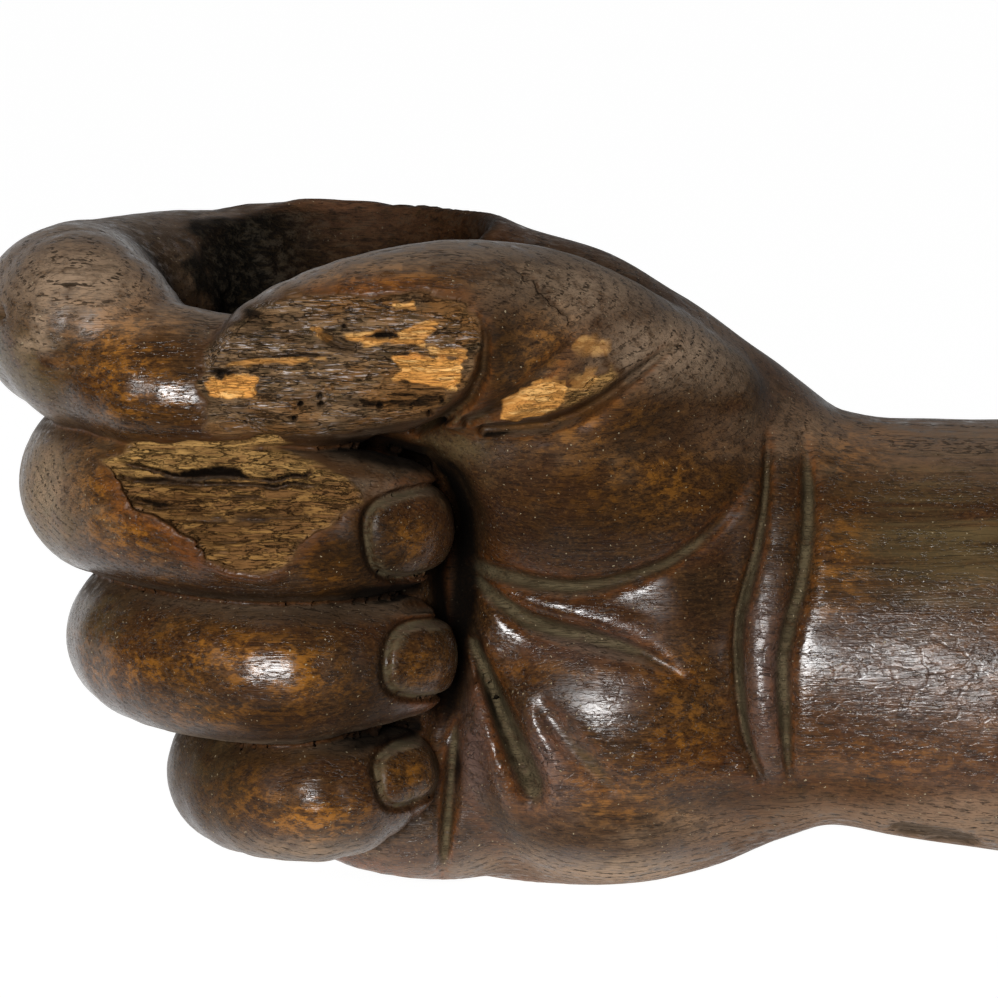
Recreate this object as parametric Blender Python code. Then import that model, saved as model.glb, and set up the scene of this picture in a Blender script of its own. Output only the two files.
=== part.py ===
"""Carved oak forearm ending in a clenched fist, hollow through the grip, lying on its little-finger side.

The whole carving is one piece of timber. It is worked out as a field: every limb, hollow and groove is a
function that gives the distance from a point to its surface, in millimetres, negative inside the wood.
Smooth unions join the limbs, smooth cuts carve the creases, and the zero level becomes the mesh.
Millimetres inside the field, metres in Blender. +X runs from the knuckles to the sawn end of the forearm,
+Z is up, and the palm side faces -Y. The origin is the middle of the footprint, at the surface it lies on.
"""

import math

import bpy
import numpy as np

MM = 0.001

# Overall sizes, millimetres.
SAWN_END_X = 170.0
SAWN_EDGE = 2.0  # how far the edge of the sawn end is worn round
BOX_LOW = (-176.0, -60.0, -6.0)
BOX_HIGH = (176.0, 56.0, 130.0)
ROD_LENGTH = 5.0  # the fingers are swept as short rods about this long

# Mesh: the field is sampled on a grid of this step, then thinned to about this many triangles.
GRID_STEP = 1.5
FLAT_REACH = 0.02 * MM
TRIANGLES = 9400

OAK_COLOUR = (0.07, 0.035, 0.018, 1.0)
OAK_ROUGHNESS = 0.4


def smooth_min(a, b, blend):
    """The smaller of two distances, with a fillet as wide as blend where they meet."""
    share = np.clip(0.5 + 0.5 * (b - a) / blend, 0.0, 1.0)
    return b + (a - b) * share - blend * share * (1.0 - share)


def smooth_cut(solid, cutter, blend):
    """solid with cutter taken out of it, the new edge rounded over by blend."""
    return -smooth_min(-solid, cutter, blend)


def smooth_profile(x, stations):
    """A curve through (x, value) stations, with no overshoot between them (monotone cubic)."""
    xs = np.array([s[0] for s in stations], float)
    values = np.array([s[1] for s in stations], float)
    steps = np.diff(xs)
    slopes = np.diff(values) / steps
    tangents = np.zeros(len(xs))
    tangents[0], tangents[-1] = slopes[0], slopes[-1]
    for i in range(1, len(xs) - 1):
        if slopes[i - 1] * slopes[i] > 0:
            before = 2 * steps[i] + steps[i - 1]
            after = steps[i] + 2 * steps[i - 1]
            tangents[i] = (before + after) / (before / slopes[i - 1] + after / slopes[i])
    x = np.clip(x, xs[0], xs[-1])
    i = np.clip(np.searchsorted(xs, x, side="right") - 1, 0, len(xs) - 2)
    t = (x - xs[i]) / steps[i]
    return (
        values[i] * (1 + 2 * t) * (1 - t) ** 2
        + tangents[i] * steps[i] * t * (1 - t) ** 2
        + values[i + 1] * t**2 * (3 - 2 * t)
        + tangents[i + 1] * steps[i] * t**2 * (t - 1)
    )


def capsule(p, a, b):
    """Distance to a tapered rod from a to b, each (x, y, z, radius)."""
    start = np.array(a[:3], np.float32)
    along = np.array(b[:3], np.float32) - start
    offset = p - start[:, None]
    t = np.clip((along @ offset) / float(along @ along), 0.0, 1.0)
    away = offset - along[:, None] * t
    return np.sqrt((away * away).sum(0)) - (a[3] + (b[3] - a[3]) * t)


def smooth_line(stations, spacing):
    """Points about spacing apart on a smooth curve through the stations, measured in their first two columns."""
    stations = np.array(stations, float)
    travel = np.concatenate([[0], np.cumsum(np.linalg.norm(np.diff(stations[:, :2], axis=0), axis=1))])
    places = np.linspace(0, travel[-1], int(travel[-1] / spacing) + 2)
    return np.array([smooth_profile(places, list(zip(travel, column))) for column in stations.T]).T


def swept(p, stations):
    """A finger or thumb: a round section carried along a smooth curve through (x, y, z, radius) stations."""
    rods = smooth_line(stations, ROD_LENGTH)
    field = capsule(p, rods[0], rods[1])
    for start, end in zip(rods[1:], rods[2:]):
        field = np.minimum(field, capsule(p, start, end))
    return field


def ellipsoid(p, centre, radii, turn_deg=0.0, lean=(0.0, 0.0)):
    """Approximate distance to an ellipsoid, turned about Y by turn_deg (positive lifts its -X end).

    lean is how far it slopes back along Y for each millimetre of X and of Z.
    """
    offset = p - np.array(centre, np.float32)[:, None]
    offset[1] -= lean[0] * offset[0] + lean[1] * offset[2]
    c, s = math.cos(math.radians(turn_deg)), math.sin(math.radians(turn_deg))
    x = c * offset[0] - s * offset[2]
    z = s * offset[0] + c * offset[2]
    radii = np.array(radii, np.float32)
    near = np.sqrt((x / radii[0]) ** 2 + (offset[1] / radii[1]) ** 2 + (z / radii[2]) ** 2)
    steep = np.sqrt((x / radii[0] ** 2) ** 2 + (offset[1] / radii[1] ** 2) ** 2 + (z / radii[2] ** 2) ** 2)
    return near * (near - 1.0) / np.maximum(steep, 1e-6)


def strip(x, z, a, b):
    """Distance in the XZ plane to the line from a to b, and how far along it the nearest point is, 0 to 1."""
    dx, dz = b[0] - a[0], b[1] - a[1]
    t = np.clip(((x - a[0]) * dx + (z - a[1]) * dz) / (dx * dx + dz * dz), 0.0, 1.0)
    return np.hypot(x - a[0] - t * dx, z - a[1] - t * dz), t


def outline_distance(x, z, outline):
    """Signed distance in the XZ plane to a closed outline, negative inside it."""
    closed = list(outline) + [outline[0]]
    inside = np.zeros(x.shape, bool)
    near = np.full(x.shape, np.inf)
    for a, b in zip(closed, closed[1:]):
        near = np.minimum(near, strip(x, z, a, b)[0])
        if a[1] != b[1]:
            level = (a[1] > z) != (b[1] > z)
            inside ^= level & (x < (b[0] - a[0]) * (z - a[1]) / (b[1] - a[1]) + a[0])
    return np.where(inside, -near, near)


# The arm and the slab of the back of the hand: outline stations along X, in millimetres.
ARM_TOP = (
    (-142, 110), (-128, 121), (-117, 122.2), (-106, 125), (-98, 126.7), (-91, 126.2), (-84, 123.8), (-78, 121.4),
    (-72, 118.8), (-58, 114.6), (-44, 106.8), (-30, 97), (-22, 91.0), (-14, 85.6), (-4, 84.1), (20, 83.9),
    (80, 85.6), (170, 88),
)
ARM_BOTTOM = (
    (-142, 24), (-122, 13), (-105, 4.2), (-93, 1.4), (-80, 0.2), (-66, -1.2), (-51, 0.8),
    (-37, 4.6), (-26, 9.6), (-17, 12.4), (-6, 10.6), (13, 7.8), (45, 3.4), (90, -1.5), (170, -1.5),
)
ARM_FRONT = (
    (-142, 22), (-120, 16), (-106, 4), (-96, -8), (-86, -14), (-74, -17), (-60, -20), (-44, -23), (-30, -24.5),
    (-15, -25.5), (20, -28), (80, -32), (170, -35),
)
ARM_BACK = (
    (-142, 33), (-122, 38), (-96, 38), (-60, 33), (-30, 27), (-12, 25.5), (20, 28), (80, 33), (170, 36),
)
ARM_CORNER = ((-60, 2.35), (-25, 2.1), (60, 2.1), (130, 2.35))  # superellipse exponent: more than 2 is boxier
ARM_LEAN = ((-45, 0), (-20, 0.19), (30, 0.19), (110, 0))  # how far the section leans back for each millimetre up


def arm(p):
    """Forearm, wrist and the slab of the hand's back: one superellipse section carried along X."""
    x, y, z = p
    top, bottom = smooth_profile(x, ARM_TOP), smooth_profile(x, ARM_BOTTOM)
    front, back = smooth_profile(x, ARM_FRONT), smooth_profile(x, ARM_BACK)
    half_y, half_z = (back - front) / 2, (top - bottom) / 2
    height = z - (top + bottom) / 2
    across = np.abs(y - (front + back) / 2 - smooth_profile(x, ARM_LEAN) * height) / half_y
    upward = np.abs(height) / half_z
    corner = smooth_profile(x, ARM_CORNER)
    section = (across**corner + upward**corner) ** (1 / corner)
    field = (section - 1.0) * np.minimum(half_y, half_z)
    return -smooth_min(-field, x + 136.0, 14.0)


# Fingers, from the knuckle round to the tip: x, y, z, radius.
INDEX_BACK = ((-118, 27, 107.2, 13.6), (-134, 21, 106.2, 15), (-150.3, 4, 103.6, 16.5))
INDEX_BULGE = ((-151.4, 2, 103.4, 16.7), (-152.2, -13, 103.6, 16.8), (-148, -18, 102.8, 15), (-138, -20, 100, 9))
INDEX_TIP = ((-149, -18, 98.5, 14), (-138, -24, 97.2, 11.2), (-124, -26, 95.5, 9.8), (-104, -26, 93, 10.5))
INDEX_PAD = ((-145, -21, 95.6, 11.8), (-138, -28, 92.8, 10.6), (-126, -30.3, 91.6, 9.4), (-110, -30, 91, 8.6))
MIDDLE = (
    (-126, 28, 79.5, 15), (-145.6, 6, 75.8, 15.6), (-146.6, -10, 74.3, 15.7), (-138, -22, 72, 14.8),
    (-118, -27.5, 69.5, 14.8), (-104, -27, 68.8, 13.4), (-96.2, -24.5, 68.4, 11.9),
)
RING = (
    (-120, 28, 51.5, 14.6), (-137, 6, 47.8, 14.4), (-139.6, -9, 46.8, 14.4), (-131, -21, 44.4, 13.8),
    (-114, -27, 43, 13.2), (-102, -25, 43.8, 11.8), (-94.6, -22.5, 44.6, 10.8),
)
LITTLE = (
    (-110, 26, 25, 13), (-121, 8, 22.8, 13.4), (-122.4, -7, 22.2, 13.8), (-117, -17, 20.2, 12.6),
    (-107, -21.5, 19.8, 11.8), (-100, -20, 21.4, 10), (-95.5, -18, 22.8, 8.6),
)
THUMB = (
    (-118.5, -33, 95.5, 10), (-112, -32, 97.2, 13.6), (-104, -31, 99.3, 15.2), (-95, -29.5, 101, 16.1),
    (-84, -27, 102, 16.6), (-72, -22, 101, 16.2), (-58, -16, 96, 15.4), (-42, -8, 87, 13),
)


# Solid wood between the bent ring and little fingers, inside the fist.
KNUCKLE_WEB = ((-122, 22, 36, 9), (-128, 3, 36, 7))


def fingers(p):
    """The four curled fingers, each meeting its neighbour in a carved groove."""
    index = smooth_min(swept(p, INDEX_TIP), swept(p, INDEX_PAD), 3.0)
    index = smooth_min(swept(p, INDEX_BULGE), index, 1.5)
    field = smooth_min(index, swept(p, MIDDLE), 1.2)
    field = smooth_min(field, swept(p, RING), 1.2)
    little = smooth_min(swept(p, LITTLE), capsule(p, *KNUCKLE_WEB), 3.0)
    return smooth_min(field, little, 1.2)


def palm(p):
    """The ball of the thumb, the heel of the hand, the hollow between them and the edge by the little finger."""
    ball = ellipsoid(p, (-61, -9.4, 78), (31, 20, 22.5), 26, (0.12, 0.0))
    heel = ellipsoid(p, (-56, -9, 28.6), (29, 18.5, 25.5), -4, (0.0, -0.12))
    hollow = ellipsoid(p, (-66, -8, 54), (22, 14, 18))
    web = ellipsoid(p, (-86, -6, 58), (19, 14, 42))
    edge = ellipsoid(p, (-92, -3, 14.2), (21, 12, 12.9))
    field = smooth_min(ball, heel, 5.0)
    field = smooth_min(field, hollow, 5.0)
    field = smooth_min(field, web, 6.0)
    return smooth_min(field, edge, 4.0)


GRIP_TOP = (-104, 7, 125, 25.0, 17.5)  # x, y, z of the middle, then half the width along X and along Y
GRIP_FOOT = (-97, 5, -8, 13.0, 11.0)


def grip(p):
    """The hollow that the fist closes round: an oval bore, wide at the thumb and narrow at the little finger."""
    t = (p[2] - GRIP_FOOT[2]) / (GRIP_TOP[2] - GRIP_FOOT[2])
    mid_x, mid_y, _, half_x, half_y = [a + (b - a) * t for a, b in zip(GRIP_FOOT, GRIP_TOP)]
    reach = np.sqrt(((p[0] - mid_x) / half_x) ** 2 + ((p[1] - mid_y) / half_y) ** 2)
    return (reach - 1.0) * np.minimum(half_x, half_y)


# Creases on the palm side, and rolls between them: x, z, half width, and depth (negative stands proud).
CREASES = (
    ((-28.8, 85, 1, 0), (-29.2, 76, 1.4, 2), (-30.6, 65, 1.5, 2.2), (-34.4, 48, 1.6, 2.4), (-33.4, 33, 1.5, 2.2),
     (-29, 20, 1, 0)),
    ((-22.5, 86, 1.4, 0), (-21.8, 72, 2.1, 2.4), (-23, 59, 2.4, 2.4), (-26.8, 44, 2.4, 2.4), (-26, 30, 1.8, 2),
     (-25, 21, 1, 0)),
    ((-31, 77, 1.6, 0), (-38, 68, 2, 1.2), (-50, 59.8, 2.2, 1.6), (-64, 56.8, 2.4, 1.8), (-80, 59.5, 3, 2)),
    ((-72, 54, 2, 0), (-60, 52, 2.4, -1.0), (-47, 48, 1.8, 0)),
    ((-80, 57, 2.2, 2.2), (-71, 50.5, 2.6, 2.6), (-59, 47.4, 2.8, 2.6), (-50, 44.8, 2, 1.8), (-42, 39, 1.4, 0)),
    ((-81, 46, 1.8, 3), (-77, 36, 2.4, 4.6), (-73.5, 28, 3.2, 4.8), (-70.8, 22, 3.4, 4.2), (-69.6, 17, 3, 0)),
    ((-73, 40, 2, 0), (-69.4, 31, 2.2, -1.1), (-66.6, 23, 2.2, -1.1), (-65, 15, 2, 0)),
    ((-80, 36, 1.6, 0), (-77.5, 26, 2, -1.3), (-74.5, 17, 2, -1.2), (-72, 11, 2, 0)),
    ((-71, 38, 2.4, 0), (-66, 32, 3.2, 1.3), (-60, 25.5, 3.6, 1.4), (-53, 18, 3, 0)),
    ((-84, 34, 1.4, 0), (-84.8, 26, 1.8, 2.8), (-85.6, 16, 1.8, 2.8), (-87, 2, 1.6, 2)),
    ((-80, 108, 1, 0), (-78.8, 100, 1.5, 2.2), (-81.5, 92, 1.8, 2.6), (-91, 84.5, 1.8, 2)),
    ((-62, 104, 1.4, 0), (-68, 97, 2.2, 1.6), (-74, 91, 2.6, 2.0), (-82, 87.5, 2, 1.6)),
    ((-45, 101, 1.2, 0), (-53, 95, 1.7, 2.2), (-60, 90, 2, 2.6), (-68, 86.2, 1.9, 2.6), (-79, 85.2, 1.6, 2)),
    ((-47, 92, 2, 0), (-57, 86.4, 2.2, -0.8), (-67, 82.6, 2.2, -0.8), (-78, 81.8, 2, 0)),
)
# The flat-topped roll between the two wrist creases, and how steep its sides are.
WRIST_ROLL = ((-27.5, 64, 2.4, 0), (-30.2, 47, 3.4, -1.0), (-29.6, 34, 3.4, -1.0), (-27, 22, 2, 0))
ROLL_STEEP = 4.0
# The palm falls back towards the first wrist crease: (z, x) along it, (z, depth), and its reach on either side.
FALL_EDGE = ((20, -29.6), (33, -34.2), (48, -35.2), (65, -31.6), (76, -30.2), (85, -29.6))
FALL_DEPTH = ((24, 0), (34, 2.8), (50, 3.2), (60, 2.6), (70, 0))
FALL_REACH = (8.0, 1.0)
# The cleft between the fingertips and the palm, cut in the palm only.
CLEFT = (
    (-95.5, 80.5, 2.2, 4), (-87.5, 76, 3.2, 10), (-84, 67, 3.4, 12), (-84.4, 56, 4.6, 12), (-84.8, 46, 3.0, 10),
    (-85.8, 36, 3.2, 10), (-87.6, 29, 1.8, 5),
)
CREASE_BACK = -6.0  # creases fade out behind this depth
CREASE_STEP = 6.0  # length of the straight pieces that follow a crease's curve
# The slit between the ends of the middle and ring fingers: x, y, z, radius at each end.
SLIT = ((-104, -45, 56.4, 1.0), (-86, -20, 55, 3.0))
# Tendons on the back of the hand: x, z, half width, depth, from knuckle to wrist.
TENDONS = (
    ((-120, 105, 5, 0), (-100, 100, 5, -1.4), (-75, 90, 4, -1.2), (-45, 72, 5, 0)),
    ((-120, 80, 5, 0), (-100, 78, 5, -1.4), (-75, 72, 4, -1.2), (-45, 62, 5, 0)),
    ((-116, 52, 5, 0), (-96, 54, 5, -1.2), (-73, 54, 4, -1.0), (-45, 52, 5, 0)),
    ((-108, 26, 5, 0), (-90, 32, 5, -1.2), (-70, 37, 4, -1.0), (-45, 42, 5, 0)),
)


def furrows(p, lines, steep=2.0):
    """How far the given creases sink the surface at each point, looking along Y."""
    sunk = np.zeros_like(p[1])
    raised = np.zeros_like(p[1])
    for line in lines:
        stations = smooth_line(line, CREASE_STEP)
        for a, b in zip(stations, stations[1:]):
            reach, t = strip(p[0], p[2], a, b)
            swell = (a[3] + (b[3] - a[3]) * t) * np.exp(-((reach / (a[2] + (b[2] - a[2]) * t)) ** steep))
            sunk = np.maximum(sunk, swell)
            raised = np.minimum(raised, swell)
    return sunk + raised


def wrist_fall(p):
    """How far the palm falls back beside the first wrist crease, deepest at the crease itself."""
    away = smooth_profile(p[2], FALL_EDGE) - p[0]
    reach = np.where(away > 0, FALL_REACH[0], FALL_REACH[1])
    return smooth_profile(p[2], FALL_DEPTH) * np.exp(-((away / reach) ** 2))


def creases(p):
    front = np.clip((CREASE_BACK - p[1]) / 8.0, 0.0, 1.0)
    back = np.clip((p[1] - 12.0) / 10.0, 0.0, 1.0)
    palm = furrows(p, CREASES + (CLEFT,)) + furrows(p, (WRIST_ROLL,), ROLL_STEEP) + wrist_fall(p)
    return palm * front + furrows(p, TENDONS) * back


# Broken and worn places: outline in XZ, then a point and a facing for the flat they are broken back to.
THUMB_SCAR = (
    (-113, 109.5), (-92, 109.8), (-82, 108.5), (-79.5, 102), (-82, 95), (-90, 87), (-98, 84.3), (-115, 83.5),
    (-124, 85.5), (-128.5, 93), (-127, 100), (-120, 107),
)
MIDDLE_SCAR = (
    (-146, 80.5), (-137, 84), (-115, 85), (-109, 81), (-97, 77.6), (-99, 74), (-110, 67.5), (-114, 63), (-120, 61.6),
    (-126, 63.5), (-133, 69.5), (-140, 73),
)
ROOT_CHIP = ((-77, 88), (-71, 93.5), (-62, 93), (-57, 97), (-55, 93), (-62, 88.5), (-70, 86.5))
SCARS = (
    (THUMB_SCAR, (-104, -41.0, 97), (-0.06, -1.0, 0.08)),
    (MIDDLE_SCAR, (-120, -37.2, 73), (-0.13, -1.0, 0.25)),
    (ROOT_CHIP, (-66, -33.0, 91), (0.2, -1.0, -0.3)),
)


def scars(p, field):
    """field broken back to a flat inside each outline."""
    for outline, point, facing in SCARS:
        facing = np.array(facing) / np.linalg.norm(facing)
        beyond = facing @ (p - np.array(point)[:, None])
        cutter = np.maximum(outline_distance(p[0], p[2], outline), -beyond)
        cutter = np.maximum(cutter, p[1] + 20.0)
        field = np.maximum(field, -cutter)
    return field


NAILS = {
    # middle x and z, half length, half height, turn in degrees, and the depth of the groove round it
    "middle": (-91.5, 67.5, 8.2, 7.6, 8, 1.4),
    "ring": (-88.5, 44.8, 8.0, 6.6, -4, 1.3),
    "little": (-92.6, 24.2, 5.6, 5.4, 12, 1.2),
}


def nails(p):
    """How far the groove round each fingernail sinks the surface."""
    sink = np.zeros_like(p[1])
    for x, z, half_x, half_z, turn, depth in NAILS.values():
        c, s = math.cos(math.radians(turn)), math.sin(math.radians(turn))
        across = (c * (p[0] - x) + s * (p[2] - z)) / half_x
        upward = (c * (p[2] - z) - s * (p[0] - x)) / half_z
        reach = ((np.abs(across) ** 3 + np.abs(upward) ** 3) ** (1 / 3) - 1.0) * min(half_x, half_z)
        sink = np.maximum(sink, depth * np.exp(-((reach / 0.9) ** 2)))
    return sink * np.clip((-16.0 - p[1]) / 4.0, 0.0, 1.0)


def carving(p):
    """Distance from each point to the surface of the whole carving."""
    hand = smooth_min(arm(p), palm(p), 6.0)
    hand = smooth_min(hand, swept(p, THUMB), 3.0)
    hand = smooth_min(hand, swept(p, INDEX_BACK), 2.0)
    hand = smooth_cut(hand, grip(p), 3.0)
    hand = hand + creases(p)
    field = smooth_min(hand, fingers(p) + nails(p), 1.0)
    field = smooth_cut(field, capsule(p, *SLIT), 1.0)
    field = scars(p, field)
    field = smooth_cut(field, SAWN_END_X - p[0], SAWN_EDGE)
    return np.maximum(field, -p[2])


def sample(field, step, low, high):
    """The field on a grid. Only blocks near the surface are worked out; the rest keep their sign."""
    block = 4
    blocks = [int(math.ceil((h - l) / (step * block))) for l, h in zip(low, high)]
    axes = [l + step * block * (np.arange(n) + 0.5) for l, n in zip(low, blocks)]
    centres = np.stack(np.meshgrid(*axes, indexing="ij")).reshape(3, -1).astype(np.float32)
    rough = field(centres)
    reach = step * block * 1.6
    values = np.repeat(np.repeat(np.repeat(rough.reshape(blocks), block, 0), block, 1), block, 2)
    values = values.astype(np.float32)
    near = np.repeat(np.repeat(np.repeat((np.abs(rough) < reach).reshape(blocks), block, 0), block, 1), block, 2)
    nodes = np.argwhere(near)
    points = (np.array(low) + step * nodes).T.astype(np.float32)
    for start in range(0, points.shape[1], 400000):
        part = slice(start, start + 400000)
        values[tuple(nodes[part].T)] = field(points[:, part])
    return values


def make_simple(values, step):
    """Fills grid nodes until no cell is crossed by two separate sheets, so that the net is one clean skin."""
    filled = -0.1 * step
    for _ in range(40):
        inside = values < 0
        change = np.zeros(values.shape, bool)
        for axis in range(3):
            one, two = [a for a in range(3) if a != axis]
            across = [np.roll(inside, (-i, -j), (one, two)) for i, j in ((0, 0), (1, 0), (1, 1), (0, 1))]
            checker = (across[0] == across[2]) & (across[1] == across[3]) & (across[0] != across[1])
            for i, j in ((0, 0), (1, 0), (1, 1), (0, 1)):
                change |= np.roll(checker, (i, j), (one, two)) & ~inside
        corners = [np.roll(inside, (-i, -j, -k), (0, 1, 2)) for i in (0, 1) for j in (0, 1) for k in (0, 1)]
        total = sum(c.astype(np.int8) for c in corners)
        for n in range(4):
            opposite = corners[n] == corners[7 - n]
            pair = opposite & (((total == 2) & corners[n]) | ((total == 6) & ~corners[n]))
            i, j, k = n >> 2 & 1, n >> 1 & 1, n & 1
            for shift in ((1, 1, 1), (0, 0, 0), (i, j, k), (1 - i, 1 - j, 1 - k)):
                change |= np.roll(pair, shift, (0, 1, 2)) & ~inside
        if not change.any():
            break
        values[change] = filled
    return values


def surface_net(values, low, step):
    """Points and four-sided faces of the zero level: one point in each grid cell that it passes through."""
    inside = values < 0
    corners = np.array([(i, j, k) for i in (0, 1) for j in (0, 1) for k in (0, 1)])
    shape = np.array(values.shape) - 1
    count = np.zeros(shape, np.int8)
    for i, j, k in corners:
        count += inside[i : i + shape[0], j : j + shape[1], k : k + shape[2]]
    mixed = (count > 0) & (count < 8)
    cells = np.argwhere(mixed)
    number = np.full(shape, -1, np.int64)
    number[mixed] = np.arange(len(cells))
    total = np.zeros((len(cells), 3))
    crossings = np.zeros(len(cells))
    for a in corners:
        for b in corners:
            if (b - a).sum() != 1 or np.abs(b - a).sum() != 1:
                continue
            at_a = values[tuple((cells + a).T)]
            at_b = values[tuple((cells + b).T)]
            cross = (at_a < 0) != (at_b < 0)
            t = np.where(cross, at_a / np.where(cross, at_a - at_b, 1), 0)
            total += np.where(cross[:, None], a + t[:, None] * (b - a), 0)
            crossings += cross
    points = np.array(low) + step * (cells + total / crossings[:, None])
    faces = []
    for axis in range(3):
        one, two = (axis + 1) % 3, (axis + 2) % 3
        unit = np.eye(3, dtype=int)
        first = np.moveaxis(inside, axis, 0)[:-1]
        second = np.moveaxis(inside, axis, 0)[1:]
        edges = np.argwhere(np.moveaxis(first != second, 0, axis))
        edges = edges[(edges[:, one] > 0) & (edges[:, two] > 0)]
        edges = edges[(edges[:, one] < shape[one]) & (edges[:, two] < shape[two])]
        ring = [edges - unit[one] - unit[two], edges - unit[two], edges, edges - unit[one]]
        quad = np.stack([number[tuple(r.T)] for r in ring], 1)
        leaves = inside[tuple(edges.T)]
        faces.append(np.where(leaves[:, None], quad, quad[:, ::-1]))
    return points, np.concatenate(faces)


def settle(field, points, rounds=2):
    """Moves points along the field's slope onto its zero level."""
    nudge = 0.05
    for _ in range(rounds):
        p = points.T.astype(np.float32)
        here = field(p)
        slope = np.zeros_like(points)
        for axis in range(3):
            step = np.zeros((3, 1), np.float32)
            step[axis] = nudge
            slope[:, axis] = (field(p + step) - field(p - step)) / (2 * nudge)
        steep = np.maximum((slope**2).sum(1), 0.2)
        points = points - slope * np.clip(here, -1.0, 1.0)[:, None] / steep[:, None]
    return points


def mesh_of(field, step):
    values = make_simple(sample(field, step, BOX_LOW, BOX_HIGH), step)
    points, faces = surface_net(values, BOX_LOW, step)
    return settle(field, points), faces


def oak():
    """Dark, waxed old oak."""
    material = bpy.data.materials.new("old waxed oak")
    material.use_nodes = True
    shader = material.node_tree.nodes["Principled BSDF"]
    shader.inputs["Base Color"].default_value = OAK_COLOUR
    shader.inputs["Roughness"].default_value = OAK_ROUGHNESS
    material.diffuse_color = OAK_COLOUR
    return material


def flatten(mesh):
    """Brings every point that thinning left a hair off the sawn end or the resting flat back onto it."""
    places = np.empty(len(mesh.vertices) * 3)
    mesh.vertices.foreach_get("co", places)
    places = places.reshape(-1, 3)
    places[:, 2] = np.where(places[:, 2] < FLAT_REACH, 0.0, places[:, 2])
    end = SAWN_END_X * MM
    places[:, 0] = np.where(places[:, 0] > end - FLAT_REACH, end, places[:, 0])
    mesh.vertices.foreach_set("co", places.ravel())
    mesh.update()


def main():
    for obj in list(bpy.data.objects):
        bpy.data.objects.remove(obj)
    points, faces = mesh_of(carving, GRID_STEP)
    mesh = bpy.data.meshes.new("hand_and_forearm")
    mesh.from_pydata((points * MM).tolist(), [], faces.tolist())
    mesh.shade_smooth()
    mesh.materials.append(oak())
    obj = bpy.data.objects.new("hand_and_forearm", mesh)
    bpy.context.scene.collection.objects.link(obj)
    thin = obj.modifiers.new("thin", "DECIMATE")
    thin.ratio = TRIANGLES / (2 * len(faces))
    thinned = bpy.data.meshes.new_from_object(obj.evaluated_get(bpy.context.evaluated_depsgraph_get()))
    obj.modifiers.clear()
    obj.data = thinned
    bpy.data.meshes.remove(mesh)
    flatten(thinned)


if __name__ == "__main__":
    main()
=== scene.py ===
import math

import bmesh
import bpy
import numpy as np
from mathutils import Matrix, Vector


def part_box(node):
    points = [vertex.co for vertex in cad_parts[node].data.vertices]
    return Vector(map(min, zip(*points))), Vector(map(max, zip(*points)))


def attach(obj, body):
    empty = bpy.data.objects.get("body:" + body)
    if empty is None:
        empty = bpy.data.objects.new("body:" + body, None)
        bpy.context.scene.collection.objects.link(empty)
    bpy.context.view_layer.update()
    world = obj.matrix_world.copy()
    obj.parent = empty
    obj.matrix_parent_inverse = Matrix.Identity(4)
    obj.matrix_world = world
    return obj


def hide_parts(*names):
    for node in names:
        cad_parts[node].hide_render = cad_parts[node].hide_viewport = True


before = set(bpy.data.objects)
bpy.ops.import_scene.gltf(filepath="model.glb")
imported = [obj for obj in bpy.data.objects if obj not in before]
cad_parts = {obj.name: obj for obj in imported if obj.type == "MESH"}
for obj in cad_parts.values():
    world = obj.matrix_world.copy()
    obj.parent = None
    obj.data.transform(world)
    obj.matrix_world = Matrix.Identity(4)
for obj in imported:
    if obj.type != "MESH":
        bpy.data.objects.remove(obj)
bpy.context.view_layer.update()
print("frame loaded")

# A clenched fist and forearm carved from one baulk of oak, seen from the palm side.
# Inside the shape functions lengths are millimetres; meshes and materials are in metres.
# +X runs from the knuckles to the sawn end, +Z is up, and the palm faces -Y.
mm = 0.001


def smoothMin(a, b, blend):  # the smaller distance, with a fillet as wide as blend
    share = np.clip(0.5 + 0.5 * (b - a) / blend, 0.0, 1.0)
    return b + (a - b) * share - blend * share * (1.0 - share)


def smoothCut(solid, cutter, blend):  # solid less cutter, the new edge rounded by blend
    return -smoothMin(-solid, cutter, blend)


def smoothProfile(x, stations):  # monotone cubic through (x, value) stations
    xs = np.array([s[0] for s in stations], float)
    values = np.array([s[1] for s in stations], float)
    steps = np.diff(xs)
    slopes = np.diff(values) / steps
    tangents = np.zeros(len(xs))
    tangents[0], tangents[-1] = slopes[0], slopes[-1]
    for i in range(1, len(xs) - 1):
        if slopes[i - 1] * slopes[i] > 0:
            before = 2 * steps[i] + steps[i - 1]
            after = steps[i] + 2 * steps[i - 1]
            tangents[i] = (before + after) / (before / slopes[i - 1] + after / slopes[i])
    x = np.clip(x, xs[0], xs[-1])
    i = np.clip(np.searchsorted(xs, x, side="right") - 1, 0, len(xs) - 2)
    t = (x - xs[i]) / steps[i]
    return (
        values[i] * (1 + 2 * t) * (1 - t) ** 2
        + tangents[i] * steps[i] * t * (1 - t) ** 2
        + values[i + 1] * t**2 * (3 - 2 * t)
        + tangents[i + 1] * steps[i] * t**2 * (t - 1)
    )


def rod(p, a, b):  # distance to a tapered rod between two (x, y, z, radius) ends
    start = np.array(a[:3], np.float32)
    along = np.array(b[:3], np.float32) - start
    offset = p - start[:, None]
    t = np.clip((along @ offset) / float(along @ along), 0.0, 1.0)
    away = offset - along[:, None] * t
    return np.sqrt((away * away).sum(0)) - (a[3] + (b[3] - a[3]) * t)


def smoothLine(stations, spacing):  # points about spacing apart on a smooth curve through the stations
    stations = np.array(stations, float)
    travel = np.concatenate([[0], np.cumsum(np.linalg.norm(np.diff(stations[:, :2], axis=0), axis=1))])
    places = np.linspace(0, travel[-1], int(travel[-1] / spacing) + 2)
    return np.array([smoothProfile(places, list(zip(travel, column))) for column in stations.T]).T


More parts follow.
